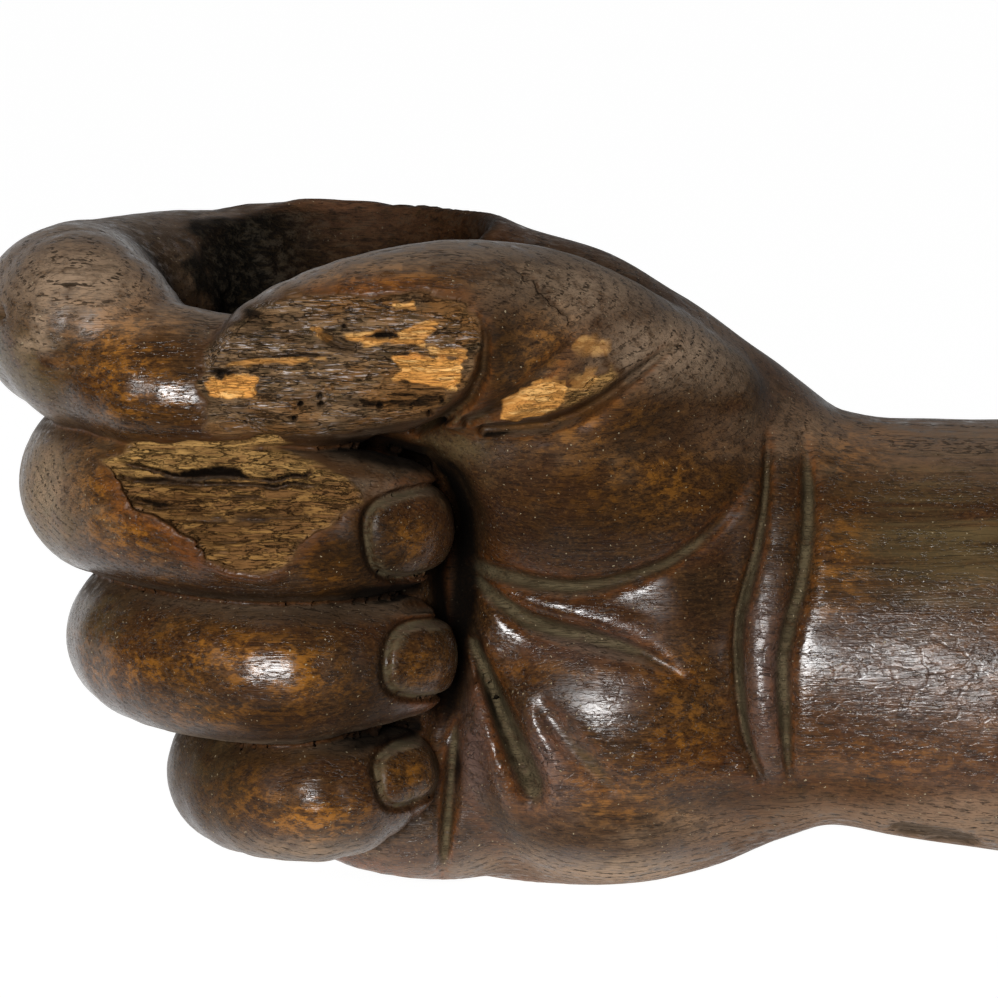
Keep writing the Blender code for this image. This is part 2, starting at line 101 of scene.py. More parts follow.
farAway = 9.0  # a limb further off than this can't touch a blend, so its distance is left at this


def limb(p, stations):  # a round section carried along a smooth curve: the least distance to its short rods
    rods = smoothLine(stations, 5.0)
    reach = rods[:, 3].max() + farAway
    low = rods[:, :3].min(0) - reach
    high = rods[:, :3].max(0) + reach
    near = ((p > low[:, None]) & (p < high[:, None])).all(0)
    q = p[:, near]
    field = rod(q, rods[0], rods[1])
    for start, end in zip(rods[1:], rods[2:]):
        field = np.minimum(field, rod(q, start, end))
    whole = np.full(p.shape[1], farAway, np.float32)
    whole[near] = np.minimum(field, farAway)
    return whole


def ellipsoid(p, centre, radii, turn, lean):  # turned about Y, and leaning back along X and Z
    offset = p - np.array(centre, np.float32)[:, None]
    offset[1] -= lean[0] * offset[0] + lean[1] * offset[2]
    c, s = math.cos(math.radians(turn)), math.sin(math.radians(turn))
    x = c * offset[0] - s * offset[2]
    z = s * offset[0] + c * offset[2]
    radii = np.array(radii, np.float32)
    near = np.sqrt((x / radii[0]) ** 2 + (offset[1] / radii[1]) ** 2 + (z / radii[2]) ** 2)
    steep = np.sqrt((x / radii[0] ** 2) ** 2 + (offset[1] / radii[1] ** 2) ** 2 + (z / radii[2] ** 2) ** 2)
    return near * (near - 1.0) / np.maximum(steep, 1e-6)


def strip(x, z, a, b):  # distance in the XZ plane to the line a-b, and the share of the way along it
    dx, dz = b[0] - a[0], b[1] - a[1]
    t = np.clip(((x - a[0]) * dx + (z - a[1]) * dz) / (dx * dx + dz * dz), 0.0, 1.0)
    return np.hypot(x - a[0] - t * dx, z - a[1] - t * dz), t


def outlineDistance(x, z, outline):  # signed distance in the XZ plane to a closed outline, negative inside
    closed = list(outline) + [outline[0]]
    inside = np.zeros(x.shape, bool)
    near = np.full(x.shape, np.inf)
    for a, b in zip(closed, closed[1:]):
        near = np.minimum(near, strip(x, z, a, b)[0])
        if a[1] != b[1]:
            level = (a[1] > z) != (b[1] > z)
            inside ^= level & (x < (b[0] - a[0]) * (z - a[1]) / (b[1] - a[1]) + a[0])
    return np.where(inside, -near, near)


def ease(value, low, high):  # 0 below low, 1 above high, an S curve between; low may be above high
    t = np.clip((value - low) / (high - low), 0.0, 1.0)
    return t * t * (3.0 - 2.0 * t)


def hashed(*cells, seed):  # a steady random value from -1 to 1 for each set of whole numbers
    mixed = seed * 974711
    for cell, prime in zip(cells, (374761393, 668265263, 1440670441)):
        mixed = mixed + cell.astype(np.int64) * prime
    mixed = (mixed ^ (mixed >> 13)) * 1274126177
    return ((mixed ^ (mixed >> 16)) & 0xFFFF) / 32767.5 - 1.0


def grainNoise(x, y, z, seed):  # smooth random field from -1 to 1: eight hashed lattice corners, blended
    cells = [np.floor(c).astype(np.int64) for c in (x, y, z)]
    parts = [c - i for c, i in zip((x, y, z), cells)]
    parts = [t * t * (3 - 2 * t) for t in parts]
    total = np.zeros(np.shape(x))
    for corner in range(8):
        steps = [corner & 1, corner >> 1 & 1, corner >> 2 & 1]
        weight = np.prod([t if s else 1 - t for t, s in zip(parts, steps)], axis=0)
        total += weight * hashed(*(c + s for c, s in zip(cells, steps)), seed=seed)
    return total


arm = {
    "top": (
        (-142, 110), (-128, 121), (-117, 122.2), (-106, 125), (-98, 126.7), (-91, 126.2), (-84, 123.8),
        (-78, 121.4), (-72, 118.8), (-58, 114.6), (-44, 106.8), (-30, 97), (-22, 91.0), (-14, 85.6), (-4, 84.1),
        (20, 83.9), (80, 85.6), (170, 88),
    ),
    "bottom": (
        (-142, 24), (-122, 13), (-105, 4.2), (-93, 1.4), (-80, 0.2), (-66, -1.2), (-51, 0.8), (-37, 4.6),
        (-26, 9.6), (-17, 12.4), (-6, 10.6), (13, 7.8), (45, 3.4), (90, -1.5), (170, -1.5),
    ),
    "front": (
        (-142, 22), (-120, 16), (-106, 4), (-96, -8), (-86, -14), (-74, -17), (-60, -20), (-44, -23),
        (-30, -24.5), (-15, -25.5), (20, -28), (80, -32), (170, -35),
    ),
    "back": (
        (-142, 33), (-122, 38), (-96, 38), (-60, 33), (-30, 27), (-12, 25.5), (20, 28), (80, 33), (170, 36),
    ),
    "corner": ((-60, 2.35), (-25, 2.1), (60, 2.1), (130, 2.35)),  # 2 is an ellipse, more is boxier
    "lean": ((-45, 0), (-20, 0.19), (30, 0.19), (110, 0)),  # how far back the section leans for each mm up
    "knuckleEnd": (-136.0, 14.0),  # x, and the fillet there
    "sawnEnd": 170.0,
    "sawnEdge": 2.0,
}


def armField(p):  # forearm, wrist and back of the hand: one superellipse carried along X
    x, y, z = p
    top, bottom = smoothProfile(x, arm["top"]), smoothProfile(x, arm["bottom"])
    front, back = smoothProfile(x, arm["front"]), smoothProfile(x, arm["back"])
    halfY, halfZ = (back - front) / 2, (top - bottom) / 2
    height = z - (top + bottom) / 2
    across = np.abs(y - (front + back) / 2 - smoothProfile(x, arm["lean"]) * height) / halfY
    upward = np.abs(height) / halfZ
    corner = smoothProfile(x, arm["corner"])
    section = (across**corner + upward**corner) ** (1 / corner)
    end, edge = arm["knuckleEnd"]
    return -smoothMin(-(section - 1.0) * np.minimum(halfY, halfZ), x - end, edge)


digits = {  # x, y, z, radius from the knuckle round to the tip
    "indexBack": ((-118, 27, 107.2, 13.6), (-134, 21, 106.2, 15), (-150.3, 4, 103.6, 16.5)),
    "indexBulge": (
        (-151.4, 2, 103.4, 16.7), (-152.2, -13, 103.6, 16.8), (-148, -18, 102.8, 15), (-138, -20, 100, 9),
    ),
    "indexTip": ((-149, -18, 98.5, 14), (-138, -24, 97.2, 11.2), (-124, -26, 95.5, 9.8), (-104, -26, 93, 10.5)),
    "indexPad": (
        (-145, -21, 95.6, 11.8), (-138, -28, 92.8, 10.6), (-126, -30.3, 91.6, 9.4), (-110, -30, 91, 8.6),
    ),
    "middle": (
        (-126, 28, 79.5, 15), (-145.6, 6, 75.8, 15.6), (-146.6, -10, 74.3, 15.7), (-138, -22, 72, 14.8),
        (-118, -27.5, 69.5, 14.8), (-104, -27, 68.8, 13.4), (-96.2, -24.5, 68.4, 11.9),
    ),
    "ring": (
        (-120, 28, 51.5, 14.6), (-137, 6, 47.8, 14.4), (-139.6, -9, 46.8, 14.4), (-131, -21, 44.4, 13.8),
        (-114, -27, 43, 13.2), (-102, -25, 43.8, 11.8), (-94.6, -22.5, 44.6, 10.8),
    ),
    "little": (
        (-110, 26, 25, 13), (-121, 8, 22.8, 13.4), (-122.4, -7, 22.2, 13.8), (-117, -17, 20.2, 12.6),
        (-107, -21.5, 19.8, 11.8), (-100, -20, 21.4, 10), (-95.5, -18, 22.8, 8.6),
    ),
    "thumb": (
        (-118.5, -33, 95.5, 10), (-112, -32, 97.2, 13.6), (-104, -31, 99.3, 15.2), (-95, -29.5, 101, 16.1),
        (-84, -27, 102, 16.6), (-72, -22, 101, 16.2), (-58, -16, 96, 15.4), (-42, -8, 87, 13),
    ),
    "knuckleWeb": ((-122, 22, 36, 9), (-128, 3, 36, 7)),
}
fillets = {  # how wide each form runs into the next
    "palm": 6.0, "thumb": 3.0, "indexBack": 2.0, "indexTip": 3.0, "indexBend": 1.5, "fingers": 1.2, "web": 3.0,
    "fist": 1.0, "hollow": 3.0, "tipGap": 1.0,
}


def fingerField(p):  # the four curled fingers, each meeting its neighbour in a carved groove
    index = smoothMin(limb(p, digits["indexTip"]), limb(p, digits["indexPad"]), fillets["indexTip"])
    index = smoothMin(limb(p, digits["indexBulge"]), index, fillets["indexBend"])
    field = smoothMin(index, limb(p, digits["middle"]), fillets["fingers"])
    field = smoothMin(field, limb(p, digits["ring"]), fillets["fingers"])
    little = smoothMin(limb(p, digits["little"]), rod(p, *digits["knuckleWeb"]), fillets["web"])
    return smoothMin(field, little, fillets["fingers"])


palm = {  # middle, half sizes, turn in degrees, how far it leans back along X and Z, fillet to those before it
    "thumbBall": ((-61, -9.4, 78), (31, 20, 22.5), 26, (0.12, 0), 0),
    "heel": ((-56, -9, 28.6), (29, 18.5, 25.5), -4, (0, -0.12), 5),
    "middle": ((-66, -8, 54), (22, 14, 18), 0, (0, 0), 5),
    "fingerRoots": ((-86, -6, 58), (19, 14, 42), 0, (0, 0), 6),
    "edge": ((-92, -3, 14.2), (21, 12, 12.9), 0, (0, 0), 4),
}


def palmField(p):
    field = None
    for *form, fillet in palm.values():
        near = ellipsoid(p, *form)
        field = near if field is None else smoothMin(field, near, fillet)
    return field


hollow = {"top": (-104, 7, 125, 25.0, 17.5), "foot": (-97, 5, -8, 13.0, 11.0)}  # x, y, z, half X, half Y


def hollowField(p):  # the oval bore that the fist closes round
    t = (p[2] - hollow["foot"][2]) / (hollow["top"][2] - hollow["foot"][2])
    midX, midY, _, halfX, halfY = [a + (b - a) * t for a, b in zip(hollow["foot"], hollow["top"])]
    reach = np.sqrt(((p[0] - midX) / halfX) ** 2 + ((p[1] - midY) / halfY) ** 2)
    return (reach - 1.0) * np.minimum(halfX, halfY)


# Creases: x, z, half width, depth (negative stands proud).
wristCreases = (
    ((-28.8, 85, 1, 0), (-29.2, 76, 1.4, 2), (-30.6, 65, 1.5, 2.2), (-34.4, 48, 1.6, 2.4),
     (-33.4, 33, 1.5, 2.2), (-29, 20, 1, 0)),
    ((-22.5, 86, 1.4, 0), (-21.8, 72, 2.1, 2.4), (-23, 59, 2.4, 2.4), (-26.8, 44, 2.4, 2.4),
     (-26, 30, 1.8, 2), (-25, 21, 1, 0)),
)
wristRoll = ((-27.5, 64, 2.4, 0), (-30.2, 47, 3.4, -1.0), (-29.6, 34, 3.4, -1.0), (-27, 22, 2, 0))
wristFall = {  # the palm falls back towards the first wrist crease
    "edge": ((20, -29.6), (33, -34.2), (48, -35.2), (65, -31.6), (76, -30.2), (85, -29.6)),  # z, x
    "depth": ((24, 0), (34, 2.8), (50, 3.2), (60, 2.6), (70, 0)),  # z, mm
    "reach": (8.0, 1.0),  # into the palm, and under the crease
}
palmCreases = (
    ((-31, 77, 1.6, 0), (-38, 68, 2, 1.2), (-50, 59.8, 2.2, 1.6), (-64, 56.8, 2.4, 1.8), (-80, 59.5, 3, 2)),
    ((-72, 54, 2, 0), (-60, 52, 2.4, -1.0), (-47, 48, 1.8, 0)),
    ((-80, 57, 2.2, 2.2), (-71, 50.5, 2.6, 2.6), (-59, 47.4, 2.8, 2.6), (-50, 44.8, 2, 1.8), (-42, 39, 1.4, 0)),
    ((-81, 46, 1.8, 3), (-77, 36, 2.4, 4.6), (-73.5, 28, 3.2, 4.8), (-70.8, 22, 3.4, 4.2), (-69.6, 17, 3, 0)),
    ((-73, 40, 2, 0), (-69.4, 31, 2.2, -1.1), (-66.6, 23, 2.2, -1.1), (-65, 15, 2, 0)),
    ((-80, 36, 1.6, 0), (-77.5, 26, 2, -1.3), (-74.5, 17, 2, -1.2), (-72, 11, 2, 0)),
    ((-71, 38, 2.4, 0), (-66, 32, 3.2, 1.3), (-60, 25.5, 3.6, 1.4), (-53, 18, 3, 0)),
    ((-84, 34, 1.4, 0), (-84.8, 26, 1.8, 2.8), (-85.6, 16, 1.8, 2.8), (-87, 2, 1.6, 2)),
)
thumbCreases = (
    ((-80, 108, 1, 0), (-78.8, 100, 1.5, 2.2), (-81.5, 92, 1.8, 2.6), (-91, 84.5, 1.8, 2)),
    ((-62, 104, 1.4, 0), (-68, 97, 2.2, 1.6), (-74, 91, 2.6, 2.0), (-82, 87.5, 2, 1.6)),
    ((-45, 101, 1.2, 0), (-53, 95, 1.7, 2.2), (-60, 90, 2, 2.6), (-68, 86.2, 1.9, 2.6), (-79, 85.2, 1.6, 2)),
    ((-47, 92, 2, 0), (-57, 86.4, 2.2, -0.8), (-67, 82.6, 2.2, -0.8), (-78, 81.8, 2, 0)),
)
cleft = (  # between the fingertips and the palm
    (-95.5, 80.5, 2.2, 4), (-87.5, 76, 3.2, 10), (-84, 67, 3.4, 12), (-84.4, 56, 4.6, 12), (-84.8, 46, 3.0, 10),
    (-85.8, 36, 3.2, 10), (-87.6, 29, 1.8, 5),
)
tendons = (
    ((-120, 105, 5, 0), (-100, 100, 5, -1.4), (-75, 90, 4, -1.2), (-45, 72, 5, 0)),
    ((-120, 80, 5, 0), (-100, 78, 5, -1.4), (-75, 72, 4, -1.2), (-45, 62, 5, 0)),
    ((-116, 52, 5, 0), (-96, 54, 5, -1.2), (-73, 54, 4, -1.0), (-45, 52, 5, 0)),
    ((-108, 26, 5, 0), (-90, 32, 5, -1.2), (-70, 37, 4, -1.0), (-45, 42, 5, 0)),
)


def furrows(p, lines, spacing=6.0, narrow=1.0, steep=2.0):  # depth x exp(-(reach / half width)^steep)
    sunk = np.zeros_like(p[1])
    raised = np.zeros_like(p[1])
    for line in lines:
        stations = smoothLine(line, spacing)
        wide = 3.5 * stations[:, 2].max()
        near = (p[0] > stations[:, 0].min() - wide) & (p[0] < stations[:, 0].max() + wide)
        near &= (p[2] > stations[:, 1].min() - wide) & (p[2] < stations[:, 1].max() + wide)
        x, z = p[0][near], p[2][near]
        low, high = np.zeros_like(x), np.zeros_like(x)
        for a, b in zip(stations, stations[1:]):
            reach, t = strip(x, z, a, b)
            width = narrow * (a[2] + (b[2] - a[2]) * t)
            swell = (a[3] + (b[3] - a[3]) * t) * np.exp(-((reach / width) ** steep))
            low, high = np.maximum(low, swell), np.minimum(high, swell)
        sunk[near] = np.maximum(sunk[near], low)
        raised[near] = np.minimum(raised[near], high)
    return sunk, raised


creases = wristCreases + palmCreases + thumbCreases


def gougeCuts(p):  # the creases as the gouge left them, narrower and steeper than the rolls between them
    return furrows(p, creases, narrow=0.72, steep=2.4)[0]


def dustLine(p):  # dust lies along the middle of the wrist and palm creases, and hardly any by the thumb
    low = furrows(p, wristCreases + palmCreases, narrow=0.5)[0]
    return np.maximum(low, 0.35 * furrows(p, thumbCreases, narrow=0.5)[0])


def fallBack(p):  # depth x exp(-(distance beside the crease / reach)^2)
    away = smoothProfile(p[2], wristFall["edge"]) - p[0]
    reach = np.where(away > 0, *wristFall["reach"])
    return smoothProfile(p[2], wristFall["depth"]) * np.exp(-((away / reach) ** 2))


def palmSide(y):  # 1 on the palm side, fading out before the middle of the thickness
    return np.clip((-6.0 - y) / 8.0, 0.0, 1.0)


def creaseField(p):
    back = np.clip((p[1] - 12.0) / 10.0, 0.0, 1.0)
    rolls = furrows(p, creases)[1] + furrows(p, (wristRoll,), steep=4.0)[1]
    carved = gougeCuts(p) + furrows(p, (cleft,))[0] + rolls + fallBack(p)
    return carved * palmSide(p[1]) + furrows(p, tendons)[1] * back


# Broken faces: outline in XZ, a point on the face, the way it looks, mm of depth that count as torn, mm that
# the torn part spreads past the outline at its lower edge, how tan it is, and how rough.
scars = {
    "thumb": (
        ((-113, 109.5), (-92, 109.8), (-82, 108.5), (-79.5, 102), (-82, 95), (-90, 87), (-98, 84.3),
         (-115, 83.5), (-124, 85.5), (-128.5, 93), (-127, 100), (-120, 107)),
        (-104, -41.0, 97), (-0.06, -1.0, 0.08), 5.0, 2.5, 0.0, 1.0,
    ),
    "middle": (
        ((-146, 80.5), (-137, 84), (-115, 85), (-109, 81), (-97, 77.6), (-99, 74), (-110, 67.5), (-114, 63),
         (-120, 61.6), (-126, 63.5), (-133, 69.5), (-140, 73)),
        (-120, -37.2, 73), (-0.13, -1.0, 0.25), 1.4, 0.0, 1.0, 1.0,
    ),
    "root": (
        ((-77, 88), (-71, 93.5), (-62, 93), (-57, 97), (-55, 93), (-62, 88.5), (-70, 86.5)),
        (-66, -33.0, 91), (0.2, -1.0, -0.3), 1.4, 0.0, 0.6, 0.5,
    ),
}


def raggedEdge(x, z):  # how far a broken edge strays from its outline
    return 0.9 * grainNoise(x / 4.5, z / 1.6, 0 * x, 25)


def breakBack(p, field):  # field broken back to a flat inside each scar, with a ragged edge
    edge = raggedEdge(p[0], p[2])
    for outline, point, facing, *_ in scars.values():
        facing = np.array(facing) / np.linalg.norm(facing)
        beyond = facing @ (p - np.array(point)[:, None])
        cutter = np.maximum(outlineDistance(p[0], p[2], outline) + edge, -beyond)
        field = np.maximum(field, -np.maximum(cutter, p[1] + 20.0))
    return field


nails = {  # middle x and z, half length, half height, turn in degrees, depth of the groove round it
    "middle": (-91.5, 67.5, 8.2, 7.6, 8, 1.4),
    "ring": (-88.5, 44.8, 8.0, 6.6, -4, 1.3),
    "little": (-92.6, 24.2, 5.6, 5.4, 12, 1.2),
}


def nailReach(p, nail):  # distance in XZ to a nail's rounded-square edge, negative on the nail
    x, z, halfX, halfZ, turn, _ = nails[nail]
    c, s = math.cos(math.radians(turn)), math.sin(math.radians(turn))
    across = (c * (p[0] - x) + s * (p[2] - z)) / halfX
    upward = (c * (p[2] - z) - s * (p[0] - x)) / halfZ
    return ((np.abs(across) ** 3 + np.abs(upward) ** 3) ** (1 / 3) - 1.0) * min(halfX, halfZ)


def nailGrooves(p):
    sink = np.zeros_like(p[1])
    for nail, (*_, depth) in nails.items():
        sink = np.maximum(sink, depth * np.exp(-((np.abs(nailReach(p, nail)) / 0.75) ** 2.4)))
    return sink * np.clip((-16.0 - p[1]) / 4.0, 0.0, 1.0)


tipGap = ((-104, -45, 56.4, 1.0), (-86, -20, 55, 3.0))  # a rod cut out between the middle and ring fingertips


def carvingField(p):  # distance from each point to the surface of the whole carving
    p = p.astype(np.float32)
    hand = smoothMin(armField(p), palmField(p), fillets["palm"])
    hand = smoothMin(hand, limb(p, digits["thumb"]), fillets["thumb"])
    hand = smoothMin(hand, limb(p, digits["indexBack"]), fillets["indexBack"])
    hand = smoothCut(hand, hollowField(p), fillets["hollow"])
    hand = hand + creaseField(p)
    field = smoothMin(hand, fingerField(p) + nailGrooves(p), fillets["fist"])
    field = smoothCut(field, rod(p, *tipGap), fillets["tipGap"])
    field = breakBack(p, field)
    field = smoothCut(field, arm["sawnEnd"] - p[0], arm["sawnEdge"])
    return np.maximum(field, -p[2])


def meshArrays(mesh):  # points in millimetres, and triangles
    points = np.empty(len(mesh.vertices) * 3)
    mesh.vertices.foreach_get("co", points)
    mesh.calc_loop_triangles()
    triangles = np.empty(len(mesh.loop_triangles) * 3, np.int64)
    mesh.loop_triangles.foreach_get("vertices", triangles)
    return points.reshape(-1, 3) / mm, triangles.reshape(-1, 3)


def meshFrom(points, triangles):
    mesh = bpy.data.meshes.new("carving")
    mesh.vertices.add(len(points))
    mesh.vertices.foreach_set("co", (points * mm).astype(np.float32).ravel())
    mesh.loops.add(triangles.size)
    mesh.loops.foreach_set("vertex_index", triangles.ravel().astype(np.int32))
    mesh.polygons.add(len(triangles))
    mesh.polygons.foreach_set("loop_start", np.arange(0, triangles.size, 3, dtype=np.int32))
    mesh.update(calc_edges=True)
    mesh.shade_smooth()
    return mesh


def placed(name, data):  # a new object in the scene
    thing = bpy.data.objects.new(name, data)
    bpy.context.scene.collection.objects.link(thing)
    return thing


def paint(mesh, name, values):  # a share from 0 to 1 at each point, for the material to read
    attribute = mesh.attributes.new(name, "FLOAT", "POINT")
    attribute.data.foreach_set("value", values.astype(np.float32))


def modified(mesh, kind, **settings):  # the mesh with one modifier applied
    carrier = placed("carrier", mesh)
    modifier = carrier.modifiers.new(kind.lower(), kind)
    for name, value in settings.items():
        setattr(modifier, name, value)
    result = bpy.data.meshes.new_from_object(carrier.evaluated_get(bpy.context.evaluated_depsgraph_get()))
    bpy.data.objects.remove(carrier)
    bpy.data.meshes.remove(mesh)
    return result


def pointNormals(points, triangles):  # area-weighted mean of the faces round each point
    a, b, c = (points[triangles[:, i]] for i in range(3))
    flat = np.cross(b - a, c - a)
    total = np.stack([
        sum(np.bincount(triangles[:, i], flat[:, axis], len(points)) for i in range(3)) for axis in range(3)
    ], 1)
    return total / np.maximum(np.linalg.norm(total, axis=1, keepdims=True), 1e-12)


# What replaces a triangle with no, one, two or three edges cut: 0 to 2 are its corners, and 3 to 5 the middles
# of the edges after each corner.
pieces = (
    ((0, 1, 2),),
    ((0, 3, 2), (3, 1, 2)),
    ((0, 3, 2), (3, 1, 4), (3, 4, 2)),
    ((0, 3, 5), (3, 1, 4), (5, 4, 2), (3, 4, 5)),
)


def splitEdges(points, triangles, longest):  # halves every edge longer than longest(middles) allows
    edges = np.sort(triangles[:, [[0, 1], [1, 2], [2, 0]]].reshape(-1, 2), axis=1)
    keys, inverse = np.unique(edges[:, 0] * len(points) + edges[:, 1], return_inverse=True)
    ends = np.stack([keys // len(points), keys % len(points)], 1)
    middle = (points[ends[:, 0]] + points[ends[:, 1]]) / 2
    cut = np.linalg.norm(points[ends[:, 0]] - points[ends[:, 1]], axis=1) > longest(middle)
    number = np.full(len(keys), -1)
    number[cut] = len(points) + np.arange(cut.sum())
    points = np.concatenate([points, middle[cut]])
    new = number[inverse].reshape(-1, 3)
    count = (new >= 0).sum(1)
    for _ in range(2):  # turned until the one cut edge is the first, or the one whole edge the last
        wrong = ((count == 1) & (new[:, 0] < 0)) | ((count == 2) & (new[:, 2] >= 0))
        triangles = np.where(wrong[:, None], np.roll(triangles, -1, 1), triangles)
        new = np.where(wrong[:, None], np.roll(new, -1, 1), new)
    corners = np.concatenate([triangles, new], 1)
    made = [corners[count == cuts][:, piece] for cuts, kinds in enumerate(pieces) for piece in kinds]
    return points, np.concatenate(made)


def settle(points, triangles, rounds, furthest):  # moves points along their normals onto the field's zero level
    probe, gentlest = 0.15, 0.35  # mm ahead where the field's slope is read, and the least slope believed
    for _ in range(rounds):
        normals = pointNormals(points, triangles)
        here = carvingField(points.T)
        ahead = carvingField((points + normals * probe).T)
        slope = np.maximum((ahead - here) / probe, gentlest)
        points = points - normals * np.clip(here / slope, -furthest, furthest)[:, None]
    return points


relief = {
    "baseStep": 1.15,  # mm between points before the detail is refined
    "scarStep": 0.36,
    "creaseStep": 0.7,
    "jointStep": 0.6,  # where the fingers meet
    "nailStep": 0.55,
    "triangles": 196000,
    "toolMarks": 0.16,  # mm the carver's facets stand in and out
    "torn": (1.4, -0.4),  # mm of torn wood to each unit of its noise, and mm its middle lies below the break
    "gouge": 2.2,
    "forearmChip": 0.9,
    "scuff": (-108.7, 19.7, 1.9, 0.55, 0.3),  # x, z, radius and width of a ring-shaped scuff, and its height
    "char": 1.4,
    "endCrack": 2.6,
    "unmovedEdge": 2.0,  # mm from the foot and the sawn end over which the surface keeps to the solid
}
burn = {"middle": (-127.5, 113), "reach": (9, 10)}  # x and z of the scorching beside the hollow's mouth
paintedSlopeShade = {"middle": (-138, 112), "reach": (9, 9)}  # painted shade on the slope behind the index finger
wornRim = {"middle": (-120, 123.5), "reach": (6, 2)}  # amber wear on the rim of the hollow

fingerJoints = (  # x and z along the grooves between the fingers
    ((-154, 85), (-130, 83.8), (-102, 82.5), (-90, 79.5)),
    ((-150, 58.5), (-126, 55.6), (-92, 57)),
    ((-136, 31), (-114, 29.5), (-92, 31.2)),
)


def jointDistance(x, z):
    near = np.full(len(x), np.inf)
    for line in fingerJoints:
        for a, b in zip(line, line[1:]):
            near = np.minimum(near, strip(x, z, a, b)[0])
    return near

splits = {  # open cracks that follow the grain: x, z, half width, depth
    "middleCrack": (
        ((-143.5, 80.4, 0.3, 0.6), (-138.2, 79.2, 0.4, 1.6), (-132.4, 77.8, 0.45, 1.8),
         (-130.4, 78.4, 0.8, 3.0), (-122, 78.7, 0.8, 3.0), (-120.6, 77.9, 0.4, 1.8), (-111, 77.8, 0.45, 2.0),
         (-108.8, 79.2, 0.3, 0.8)),
        ((-131, 77, 0.4, 1.2), (-118, 76.6, 0.45, 1.6), (-104, 76.9, 0.35, 0.8)),
        ((-143, 77.4, 0.4, 0.8), (-137, 76.9, 0.6, 1.4), (-131, 76.8, 0.4, 1.0)),
        ((-140, 73.8, 0.5, 1.3), (-136, 73.2, 0.8, 1.6), (-132, 72.4, 0.5, 0.9)),
        ((-128.7, 66.3, 0.3, 0.7), (-120, 66.9, 0.35, 0.9), (-111, 67, 0.3, 0.6)),
        ((-128.2, 65.2, 0.25, 0.5), (-120, 65.8, 0.3, 0.6), (-112.5, 66, 0.25, 0.4)),
        ((-131, 70.5, 0.3, 0.5), (-120, 70.8, 0.4, 0.8), (-104, 71.6, 0.3, 0.5)),
        ((-134, 74.4, 0.3, 0.5), (-120, 74, 0.4, 0.9), (-102, 74.6, 0.3, 0.5)),
    ),
    "thumbCrack": (
        ((-99.6, 102.2, 0.4, 1.0), (-96.2, 102.9, 0.7, 2.4), (-93.8, 102.7, 0.4, 1.2)),
        ((-121, 99.4, 0.3, 0.7), (-113, 99, 0.45, 1.2), (-105, 99, 0.35, 0.8)),
        ((-122, 103, 0.3, 0.6), (-116, 103.4, 0.4, 0.9), (-109, 103.1, 0.3, 0.6)),
        ((-127.6, 96.6, 0.4, 0.8), (-124.6, 96.2, 0.9, 1.8), (-121.6, 96.6, 0.4, 0.8)),
        ((-94, 98.9, 0.25, 0.5), (-88, 99.2, 0.35, 0.9), (-82, 98.4, 0.25, 0.5)),
        ((-107, 106.2, 0.3, 0.6), (-98, 106.4, 0.4, 0.9), (-90, 106.8, 0.3, 0.6)),
    ),
    "shoulderCrack": (
        ((-76, 115, 0.2, 0.2), (-72.5, 113.2, 0.3, 0.6), (-69.4, 110.9, 0.35, 0.9), (-67.6, 108.2, 0.3, 0.8),
         (-65.4, 106.6, 0.35, 0.9), (-63.8, 104, 0.25, 0.4)),
    ),
}
forearmChip = (
    (-8, 13.2), (-5.6, 14.2), (-0.5, 13.8), (4.3, 13.4), (7.5, 12), (10, 9.5), (6, 9), (0, 10.4), (-6, 12),
)
endCracks = (  # drying cracks in the sawn end: y and z at the skin, then inside, and half width
    ((37, 30), (4, 46), 0.8), ((-36, 38), (-6, 30), 0.7), ((-2, 89), (9, 58), 0.9), ((18, 0), (12, 18), 0.6),
)
scarLip = ((-128.6, 64.6, 0.9, 0), (-123.5, 61.6, 1.1, -0.9), (-117, 60.8, 1.1, -0.9), (-111.5, 63.2, 0.9, 0))
pits = (  # woodworm exit holes and small knocks: x, z, radius, depth
    (-110.8, 91.0, 0.6, 1.6), (-107.5, 92.4, 0.55, 1.6), (-107.3, 91.0, 0.6, 1.8), (-97.2, 90.7, 0.6, 1.6),
    (-112.0, 88.5, 0.6, 1.6), (-88.5, 89.2, 0.6, 1.5), (-103.3, 104.3, 0.5, 1.3), (-151.4, 96.4, 0.6, 1.4),
    (-163.5, 105.7, 0.6, 1.3), (-86.4, 91.6, 0.4, 1.0), (-120.4, 87.6, 0.45, 1.0),
)
gouge = (
    (-108.6, 103.6), (-106.4, 103.4), (-103.6, 101.9), (-100.6, 101.6), (-101.4, 100.2), (-104, 100.1),
    (-107, 101.6),
)
